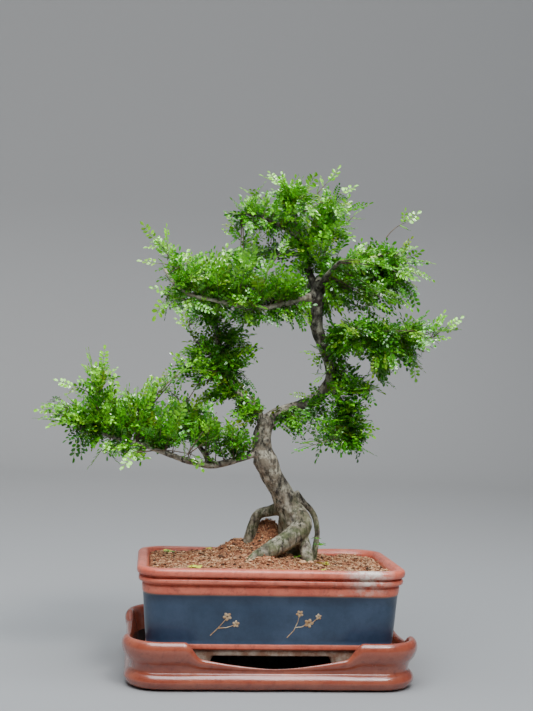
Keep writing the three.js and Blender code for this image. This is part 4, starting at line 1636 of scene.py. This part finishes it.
# the row of numbers in each cloud is its centre and its half sizes; in each shoot its foot and its tip
MASSES = (
    Mass(
        "west_low",
        ("low_branch",),
        0.55,
        (
            (-201, -25, 397, 16, 24, 9), (-269, -25, 362, 49, 48, 30), (-214, -25, 369, 49, 60, 39),
            (-209, -45, 309, 46, 40, 13), (-247, -25, 424, 13, 26, 24), (-266, -50, 320, 11, 16, 17),
            (-172, -30, 354, 26, 50, 32), (-189, -25, 398, 11, 24, 14), (-302, -30, 370, 24, 26, 11),
        ),
        (
            (-245, -30, 388, -264, -28, 450, UP), (-242, -30, 388, -238, -30, 454, UP),
            (-283, -34, 364, -333, -34, 361, UP), (-260, -10, 387, -309, -5, 404, UP),
            (-270, -45, 340, -272, -52, 289, HANGS), (-262, -45, 340, -257, -50, 305, HANGS),
            (-268, -40, 343, -264, -46, 293, HANGS), (-253, -45, 335, -250, -50, 313, HANGS),
            (-295, -20, 375, -309, -20, 380, HANGS), (-238, -28, 405, -220, -28, 425, UP),
        ),
    ),
    Mass(
        "west_mid",
        ("low_branch", "west_fork", "low_back"),
        0.45,
        (
            (-164, -20, 406, 16, 30, 11), (-111, -10, 392, 22, 40, 16), (-50, -30, 363, 24, 40, 22),
            (-64, -30, 337, 23, 30, 11), (-130, -25, 455, 19, 24, 6), (-133, -30, 356, 49, 62, 36),
            (-85, -35, 355, 37, 60, 23), (-118, -30, 424, 24, 45, 24), (-160, -25, 407, 19, 30, 13),
            (-48, -30, 356, 22, 40, 17), (-116, -10, 380, 43, 60, 14), (-133, -25, 449, 16, 24, 9),
        ),
        (
            (-131, -30, 380, -174, -28, 414, UP), (-110, -30, 420, -147, -30, 447, UP),
            (-65, -30, 326, -38, -25, 316, UP),
        ),
    ),
    Mass(
        "column",
        ("west_fork", "west_back"),
        0.4,
        (
            (-31, 0, 452, 16, 40, 22), (-56, 10, 443, 36, 60, 55), (-59, 0, 399, 32, 45, 20),
            (-34, 0, 370, 13, 20, 11), (-36, 0, 473, 19, 40, 20),
        ),
        (
            (-51, 6, 452, -12, 10, 462, UP), (-44, 6, 423, -17, 6, 395, HANGS),
            (-49, 6, 469, -17, 6, 439, UP),
        ),
    ),
    Mass(
        "west_high",
        ("pale_branch", "west_fork", "west_back"),
        0.55,
        (
            (-61, -20, 603, 17, 36, 10), (-126, -25, 535, 33, 60, 33), (-91, -20, 555, 52, 85, 44),
            (-88, 0, 502, 37, 60, 20), (-92, -20, 582, 26, 50, 13), (-81, -20, 597, 19, 40, 11),
        ),
        (
            (-149, -30, 574, -194, -25, 630, UP), (-155, -30, 577, -158, -20, 631, UP),
            (-143, -40, 565, -198, -36, 577, UP), (-149, -30, 574, -177, -25, 616, UP),
        ),
    ),
    Mass(
        "heart",
        ("pale_branch", "leader", "heart_back", "crown_west"),
        0.5,
        (
            (48, 0, 484, 13, 24, 17), (15, -40, 571, 20, 24, 11), (-25, -10, 577, 63, 88, 49),
            (-43, -20, 497, 40, 55, 22), (26, -20, 500, 36, 50, 20), (13, -40, 552, 37, 50, 32),
            (-61, -10, 631, 10, 26, 16),
        ),
        (
            (-55, -10, 624, -74, -10, 653, UP), (-52, -10, 613, -79, -10, 629, UP),
        ),
    ),
    Mass(
        "crown",
        ("leader", "crown_east", "crown_west"),
        0.62,
        (
            (12, -10, 704, 26, 30, 9), (29, 0, 658, 55, 78, 50), (92, 0, 648, 30, 75, 34),
            (-29, -10, 661, 24, 48, 26), (62, -10, 601, 43, 60, 20), (-14, -10, 692, 26, 36, 11),
            (34, 0, 705, 20, 40, 10), (110, 0, 634, 13, 40, 20),
        ),
        (
            (58, 0, 684, 96, 8, 731, UP), (101, 5, 661, 144, 4, 681, UP),
            (19, -5, 690, -26, -10, 713, UP), (-23, -15, 672, -55, -15, 689, UP),
            (-22, -15, 654, -60, -20, 666, UP), (107, 0, 648, 124, 0, 670, UP),
        ),
    ),
    Mass(
        "east_high",
        ("east_high", "front_bough", "back_bough"),
        0.5,
        (
            (174, -10, 520, 40, 50, 13), (94, -10, 509, 20, 40, 10), (206, -10, 555, 9, 30, 26),
            (150, 0, 589, 60, 85, 34), (104, 0, 542, 47, 80, 37), (192, -10, 554, 22, 40, 34),
            (100, -30, 574, 32, 50, 23), (165, -10, 531, 37, 60, 17), (88, -10, 513, 14, 40, 14),
            (221, -5, 594, 13, 22, 7),
        ),
        (
            (186, 0, 599, 244, 10, 597, UP), (180, 0, 603, 213, 5, 622, UP),
            (191, -5, 572, 216, -8, 520, HANGS), (164, 0, 628, 217, 2, 672, LONE),
        ),
    ),
    Mass(
        "east_mid",
        ("east_mid",),
        0.45,
        (
            (122, -20, 449, 19, 40, 11), (167, -10, 416, 17, 24, 9), (203, -10, 445, 17, 30, 9),
            (127, -10, 484, 66, 80, 34), (202, -20, 475, 49, 60, 29), (161, -10, 436, 34, 60, 29),
            (99, -10, 466, 37, 60, 23), (168, -10, 421, 16, 32, 11),
        ),
        (
            (229, -20, 479, 279, -20, 516, UP), (229, -20, 479, 252, -18, 524, UP),
            (195, -10, 460, 228, -8, 431, HANGS), (159, -10, 424, 185, -8, 407, HANGS),
        ),
    ),
    Mass(
        "east_low",
        ("east_low", "east_drop", "arch"),
        0.38,
        (
            (139, -10, 383, 9, 26, 23), (31, -20, 344, 17, 24, 13), (117, -15, 316, 29, 30, 9),
            (105, -5, 393, 43, 68, 42), (122, -15, 339, 34, 50, 27), (48, -20, 348, 29, 40, 22),
            (77, -20, 366, 26, 40, 19), (114, -10, 428, 34, 50, 20), (132, -10, 375, 11, 30, 13),
            (120, -15, 320, 27, 34, 10),
        ),
        (
            (81, -6, 450, 40, -20, 457, UP), (82, -8, 427, 58, -25, 410, UP),
            (72, 10, 389, 29, 0, 395, UP), (119, -15, 347, 157, -30, 350, UP),
            (117, -15, 327, 157, -20, 308, HANGS), (79, -6, 456, 56, -20, 435, HANGS),
            (42, -20, 348, 32, -20, 324, HANGS),
        ),
    ),
)

# where the photo's viewer stands, from the tree's own middle
EYE = Vector((-167.44, -1541.27, 395.26))


@dataclass(frozen=True)
class Clearing:
    """A gap in the foliage that the photo's viewer sees through, or that shows bare wood behind it."""

    centre: Triple
    half_width: float
    half_height: float
    in_front_only: bool = False

    def holds(self, place: Vector) -> bool:
        """Tells whether a point would hide the gap from the viewer.

        Args:
            place: The point.

        Returns:
            Whether it is seen in the gap.
        """
        centre = Vector(self.centre)
        if self.in_front_only and place.y > centre.y:
            return False
        seen = EYE + (place - EYE) * ((centre.y - EYE.y) / (place.y - EYE.y))
        off = seen - centre
        return (off.x / self.half_width) ** 2 + (off.z / self.half_height) ** 2 < 1


CLEARINGS = (
    Clearing((26, 0, 433), 49, 53), Clearing((-155, -20, 388), 10, 6),
    Clearing((-117, -20, 397), 10, 4), Clearing((-95, -10, 443), 6, 4),
    Clearing((-190, -30, 329), 11, 9), Clearing((-228, -30, 323), 13, 9),
    Clearing((-123, -40, 308), 29, 10), Clearing((-60, -10, 376), 11, 11),
    Clearing((102, 0, 604), 9, 7), Clearing((124, 0, 549), 7, 6), Clearing((162, 0, 539), 7, 6),
    Clearing((138, -10, 436), 7, 9), Clearing((15, -10, 337), 9, 9),
    Clearing((70, 0, 430), 11, 22, in_front_only=True),
    Clearing((66, -4, 548), 15, 22, in_front_only=True),
    Clearing((14, -26, 524), 32, 7, in_front_only=True),
)


def drawn_within(draw: random.Random, *spans: Pair) -> Vector:
    """Draws a vector.

    Args:
        draw: The random stream.
        *spans: The least and the most of each coordinate.

    Returns:
        The vector.
    """
    return Vector([draw.uniform(*span) for span in spans])


@dataclass(frozen=True)
class Shoot:
    """A young shoot: where it leaves the wood, where its last leaf ends and how its leafy part grows."""

    foot: Vector
    tip: Vector
    leafy: float
    age: float
    size: float
    keeps_clear: bool = True
    # how much of a short shoot its last leaf takes up, at most
    leaf_share: float = 0.6

    def leafless(self, full_leaf: float) -> Vector:
        """Gives where the twig ends, so that its last leaf just reaches the tip."""
        span = self.tip - self.foot
        return self.tip - span.normalized() * min(full_leaf * self.size, span.length * self.leaf_share)


@dataclass
class Foliage:
    """Leafy shoots of the crown, mass by mass."""

    seed: int = 7
    full_leaf: float = 36.0
    leaf_pitch: float = 7.6
    leaf_turn: float = 2.4
    twig_radius: float = 0.7
    twig_growth: float = 0.004
    twig_taper: float = 0.16
    # how twigs bow, how leaves turn from the twig's way and where their upper sides face: the least
    # and the most in X, Y and Z
    twig_bows: tuple[Pair, ...] = ((-0.1, 0.1), (-0.1, 0.1), (0.02, 0.16))
    leaf_lifts: tuple[Pair, ...] = ((-0.2, 0.2), (-0.25, 0.1), (-0.05, 0.4))
    leaf_faces: tuple[Pair, ...] = ((-0.55, 0.55), (-0.85, 0.3), (0.35, 1.0))
    # what a foot costs that lies above the tip, how much luck counts and how far feet stand apart
    uphill_cost: float = 0.6
    luck: float = 14.0
    foot_step: float = 12.0
    density: float = 0.0051
    # how much of a shoot bears leaves: the long shoot of a spray, its side shoots and those of a cloud
    spray_leafy: float = 70.0
    side_leafy: float = 45.0
    cloud_leafy: Pair = (26.0, 48.0)
    kinds: tuple[tuple[int, float, int], ...] = (
        (3, 0.1, 1), (3, 0.2, 2), (4, 0.16, 3), (4, 0.05, 4), (4, 0.24, 5), (5, 0.14, 6),
    )
    forms: list[tuple[bpy.types.Mesh, float]] = field(default_factory=list)

    def __post_init__(self) -> None:
        """Makes the forms of leaf once."""
        for kind in self.kinds:
            form = LeafForm(*kind)
            self.forms.append((form.build(), form.length))

    def add_leaf(
        self, made: bmesh.types.BMesh, foot: Vector, reach: Vector, tone: float, draw: random.Random
    ) -> None:
        """Places one leaf.

        Args:
            made: The mass that it joins.
            foot: Where its stalk starts.
            reach: The way from its foot to its tip.
            tone: 0 for old dark green and 1 for young yellow-green.
            draw: The random stream.
        """
        form, length = draw.choice(self.forms)
        up = drawn_within(draw, *self.leaf_faces)
        tint = draw.random()
        along = reach.normalized()
        side = up.cross(along).normalized()
        turned = Matrix((along, side, along.cross(side))).transposed().to_4x4()
        leaf = form.copy()
        leaf.transform(Matrix.Translation(foot) @ turned @ Matrix.Scale(reach.length / length, 4))
        count = len(leaf.vertices)
        leaf.attributes["tone"].data.foreach_set("value", [min(max(tone, 0.0), 1.0)] * count)
        leaf.attributes["tint"].data.foreach_set("value", [tint] * count)
        made.from_mesh(leaf)
        bpy.data.meshes.remove(leaf)

    def add_shoot(self, made: bmesh.types.BMesh, twigs: list, shoot: Shoot, draw: random.Random) -> None:
        """Grows one shoot: a thin twig that bows to its end, with alternate leaves on its outer part.

        Args:
            made: The mass that gets its leaves.
            twigs: The list that gets its twig.
            shoot: The shoot.
            draw: The random stream.
        """
        if shoot.keeps_clear and any(gap.holds(shoot.tip) for gap in CLEARINGS):
            return
        foot, end = shoot.foot, shoot.leafless(self.full_leaf)
        span = (end - foot).length
        bow = drawn_within(draw, *self.twig_bows) * span
        middle = foot.lerp(end, 0.5) + bow

        def at(t: float) -> Vector:
            """Gives the place on the shoot's bow, from 0 at its foot to 1 at its end."""
            return foot * (1 - t) ** 2 + middle * 2 * t * (1 - t) + end * t * t

        thick = self.twig_radius + self.twig_growth * span
        twigs.append([(at(i / 4), thick * (1 - self.twig_taper * i)) for i in range(5)])
        start = max(0.1, 1 - shoot.leafy / max(span, 1.0))
        count = max(2, round(span * (1 - start) / self.leaf_pitch))
        turn = draw.uniform(0, math.tau)
        for i in range(count + 1):
            t = start + (1 - start) * i / count
            place = at(t)
            ahead = (at(min(t + 0.05, 1.0)) - at(max(t - 0.05, 0.0))).normalized()
            across = ahead.orthogonal().normalized()
            across.rotate(Matrix.Rotation(turn + i * self.leaf_turn, 3, ahead))
            lift = drawn_within(draw, *self.leaf_lifts)
            way = (ahead * 0.75 + across * draw.uniform(0.7, 1.2) + lift).normalized()
            grown = self.full_leaf * shoot.size * draw.uniform(0.62, 1.08) * (1 - 0.15 * i / count)
            reach = shoot.tip - place if i == count else way * grown
            tone = shoot.age + 0.3 * (i / count - 0.5) + draw.gauss(0, 0.13)
            spots = [place + reach * share for share in (0.5, 0.75, 1)]
            if shoot.keeps_clear and any(gap.holds(spot) for gap in CLEARINGS for spot in spots):
                continue
            self.add_leaf(made, place, reach, tone, draw)

    def foot_for(self, mass: Mass, tip: Vector, draw: random.Random) -> Vector:
        """Finds where on the wood a shoot with this tip would start.

        Args:
            mass: The mass whose limbs feed it.
            tip: The shoot's tip.
            draw: The random stream.

        Returns:
            A place on a limb, which is near, and lower than the tip where there is a choice.
        """
        best, best_cost = None, math.inf
        for name in mass.limbs:
            for place, _ in Limb(LIMBS[name]).sampled(self.foot_step)[2:]:
                away = tip - place
                uphill = max(0.0, -away.z)
                cost = away.length + self.uphill_cost * uphill + draw.uniform(0, self.luck)
                if cost < best_cost:
                    best, best_cost = place, cost
        return best

    def shoots(self, mass: Mass, nodes: Sequence[str], draw: random.Random) -> Iterable[Shoot]:
        """Lists a mass's shoots: on its plain sprays, in its clouds and far out.

        Args:
            mass: The mass.
            nodes: The names of its plain sprays.
            draw: The random stream.

        Yields:
            Each shoot.
        """
        for name in nodes:
            points = [v.co / MM - TREE_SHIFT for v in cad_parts[name].data.vertices]
            low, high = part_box(name)
            foot = self.foot_for(mass, (low + high) / 2 / MM - TREE_SHIFT, draw)
            tip = max(points, key=lambda point: (point - foot).length)
            foot = self.foot_for(mass, tip, draw)
            yield Shoot(foot, tip, self.spray_leafy, mass.age + 0.15, 1.0)
            for _ in range(3):
                yield Shoot(foot.lerp(tip, 0.35), draw.choice(points), self.side_leafy, mass.age, 0.9)
        for pad in mass.pads():
            width, depth, height = (2 * h for h in pad.half)
            for _ in range(round(self.density * (width * depth * height) ** (2 / 3))):
                tip = pad.drawn(draw)
                rise = (tip.z - pad.centre[2]) / pad.half[2]
                age = mass.age + 0.18 * rise + 0.1 * abs(tip.y - pad.centre[1]) / pad.half[1]
                foot = self.foot_for(mass, tip, draw)
                yield Shoot(foot, tip, draw.uniform(*self.cloud_leafy), age, 0.86)
        for *ends, vigour in mass.shoots:
            foot, tip = Vector(ends[:3]), Vector(ends[3:])
            leafy = 12.0 if vigour is LONE else self.spray_leafy
            age = 0.12 if vigour is HANGS else 0.95
            yield Shoot(foot, tip, leafy, age, 0.85, keeps_clear=False)

    def build(self, mass: Mass) -> bpy.types.Object:
        """Makes one mass, which stands for the plain sprays of the same name.

        Args:
            mass: The mass.

        Returns:
            The finished piece.
        """
        draw = random.Random(self.seed + sum(ord(letter) for letter in mass.name))
        made = bmesh.new()
        twigs: list = []
        nodes = sorted(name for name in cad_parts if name.startswith("spray_" + mass.name + "_"))
        for shoot in self.shoots(mass, nodes, draw):
            self.add_shoot(made, twigs, shoot, draw)
        stems = tubes("twigs", twigs, 0)
        numbered(stems, 2)
        made.from_mesh(stems)
        finishes = (LEAF, YOUNG_STEM, TWIG_BARK)
        piece = finished("foliage_" + mass.name, made, finishes, Slot.LEAF, TREE_SHIFT)
        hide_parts(*nodes)
        return piece


# Studio


@dataclass
class Studio:
    """A plain pale bowl of a floor, soft lights and the camera."""

    camera_place: Triple = (-170.84, -1541.27, 395.26)
    looking: Triple = (0.10336, 0.99406, 0.03414)
    roll_deg: float = 1.88
    focal_px: float = 1069.11
    frame_px: tuple[int, int] = (533, 711)
    sensor: float = 36.0
    floor_radius: float = 3400.0
    wall_radius: float = 1500.0
    wall_top: float = 5200.0
    floor_height: float = -0.3
    aim: Triple = (0.0, 0.0, 0.35)
    curve_steps: int = 14
    turn_steps: int = 96

    def camera(self) -> None:
        """Makes the camera, at the photo's place and angle."""
        data = bpy.data.cameras.new("camera")
        data.sensor_width = self.sensor
        data.lens = self.sensor * self.focal_px / max(self.frame_px)
        data.clip_start = 0.05
        data.clip_end = 60
        camera = linked("camera", data)
        ahead = Vector(self.looking).normalized()
        right = ahead.cross(Vector((0, 0, 1))).normalized()
        up = right.cross(ahead)
        roll = math.radians(self.roll_deg)
        across = right * math.cos(roll) + up * math.sin(roll)
        above = up * math.cos(roll) - right * math.sin(roll)
        turned = Matrix((across, above, -ahead)).transposed().to_4x4()
        camera.matrix_world = Matrix.Translation(Vector(self.camera_place) * MM) @ turned
        bpy.context.scene.camera = camera

    def floor(self) -> None:
        """Makes the floor, which curves up into a wall all round."""
        made = bmesh.new()
        profile = [(0, 0, self.floor_height), (self.floor_radius, 0, self.floor_height)]
        for i in range(1, self.curve_steps + 1):
            angle = i / self.curve_steps * math.pi / 2
            x = self.floor_radius + math.sin(angle) * self.wall_radius
            z = self.floor_height + (1 - math.cos(angle)) * self.wall_radius
            profile.append((x, 0, z))
        profile.append((self.floor_radius + self.wall_radius, 0, self.wall_top))
        verts = [made.verts.new(point) for point in profile]
        edges = [made.edges.new(pair) for pair in zip(verts, verts[1:])]
        turn = {"cent": (0, 0, 0), "axis": (0, 0, 1), "angle": math.tau}
        bmesh.ops.spin(made, geom=verts + edges, steps=self.turn_steps, use_merge=True, **turn)
        bmesh.ops.remove_doubles(made, verts=made.verts, dist=0.01)
        for face in made.faces:
            face.smooth = True
        mesh = meshed("floor", made)
        mesh.transform(Matrix.Scale(MM, 4))
        paper = bpy.data.materials.new("paper_backdrop_matt")
        paper.use_nodes = True
        shader = paper.node_tree.nodes["Principled BSDF"]
        shader.inputs["Base Color"].default_value = linear("949494")
        shader.inputs["Roughness"].default_value = 0.95
        mesh.materials.append(paper)
        linked("floor", mesh)

    def light(self, name: str, place: Triple, size: float, watts: float, hex_code: str) -> None:
        """Adds a soft square light that shines at the tree.

        Args:
            name: The light's name.
            place: Where it hangs, in metres.
            size: Its side, in metres.
            watts: Its power.
            hex_code: Its colour.
        """
        data = bpy.data.lights.new(name, "AREA")
        data.size = size
        data.energy = watts
        self.hang(name, data, place, hex_code)

    def daylight(
        self, name: str, place: Triple, softness: float, strength: float, hex_code: str
    ) -> None:
        """Adds light from far away, which falls as evenly on the backdrop as on the tree.

        Args:
            name: The light's name.
            place: A point that the light comes from the direction of, in metres.
            softness: The angle that its source covers, in degrees.
            strength: Its strength.
            hex_code: Its colour.
        """
        data = bpy.data.lights.new(name, "SUN")
        data.angle = math.radians(softness)
        data.energy = strength
        self.hang(name, data, place, hex_code)

    def hang(self, name: str, data: bpy.types.Light, place: Triple, hex_code: str) -> None:
        """Hangs a light up and turns it to the tree.

        Args:
            name: The light's name.
            data: The light.
            place: Where it hangs, in metres.
            hex_code: Its colour.
        """
        data.color = linear(hex_code)[:3]
        lamp = linked(name, data)
        lamp.location = place
        aim = Vector(self.aim) - Vector(place)
        lamp.rotation_mode = "QUATERNION"
        lamp.rotation_quaternion = aim.to_track_quat("-Z", "Y")

    def build(self) -> None:
        """Sets up camera, floor, lights and the pale surroundings."""
        self.camera()
        self.floor()
        self.daylight("key", (1.2, -1.9, 2.6), 20, 2.55, "FFFFFF")
        self.daylight("fill", (-2.0, -1.7, 1.3), 40, 0.8, "F6FAFF")
        self.light("overhead", (-0.1, -0.7, 2.2), 2.2, 112, "F0F8FF")
        world = bpy.data.worlds.new("surroundings")
        world.use_nodes = True
        background = world.node_tree.nodes["Background"]
        background.inputs["Color"].default_value = linear("E6ECF2")
        background.inputs["Strength"].default_value = 0.8
        bpy.context.scene.world = world


def dress_screens() -> None:
    """Gives the drain screens, which stay as they are, their plastic."""
    for name in ("drain_screen_left", "drain_screen_right"):
        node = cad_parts[name]
        node.data.materials.clear()
        node.data.materials.append(MATERIALS(PLASTIC_MESH))


def main() -> None:
    """Builds the studio and every piece, in order."""
    logging.basicConfig(level=logging.INFO, format="%(name)s %(message)s")
    Studio().build()
    DripSaucer().build()
    pot = Pot()
    pot.build()
    SlipSprigs(pot).build()
    soil = SoilBed(pot)
    soil.bed()
    soil.litter()
    soil.fallen()
    Wood().build()
    foliage = Foliage()
    for mass in MASSES:
        foliage.build(mass)
    dress_screens()


if __name__ == "__main__":
    main()
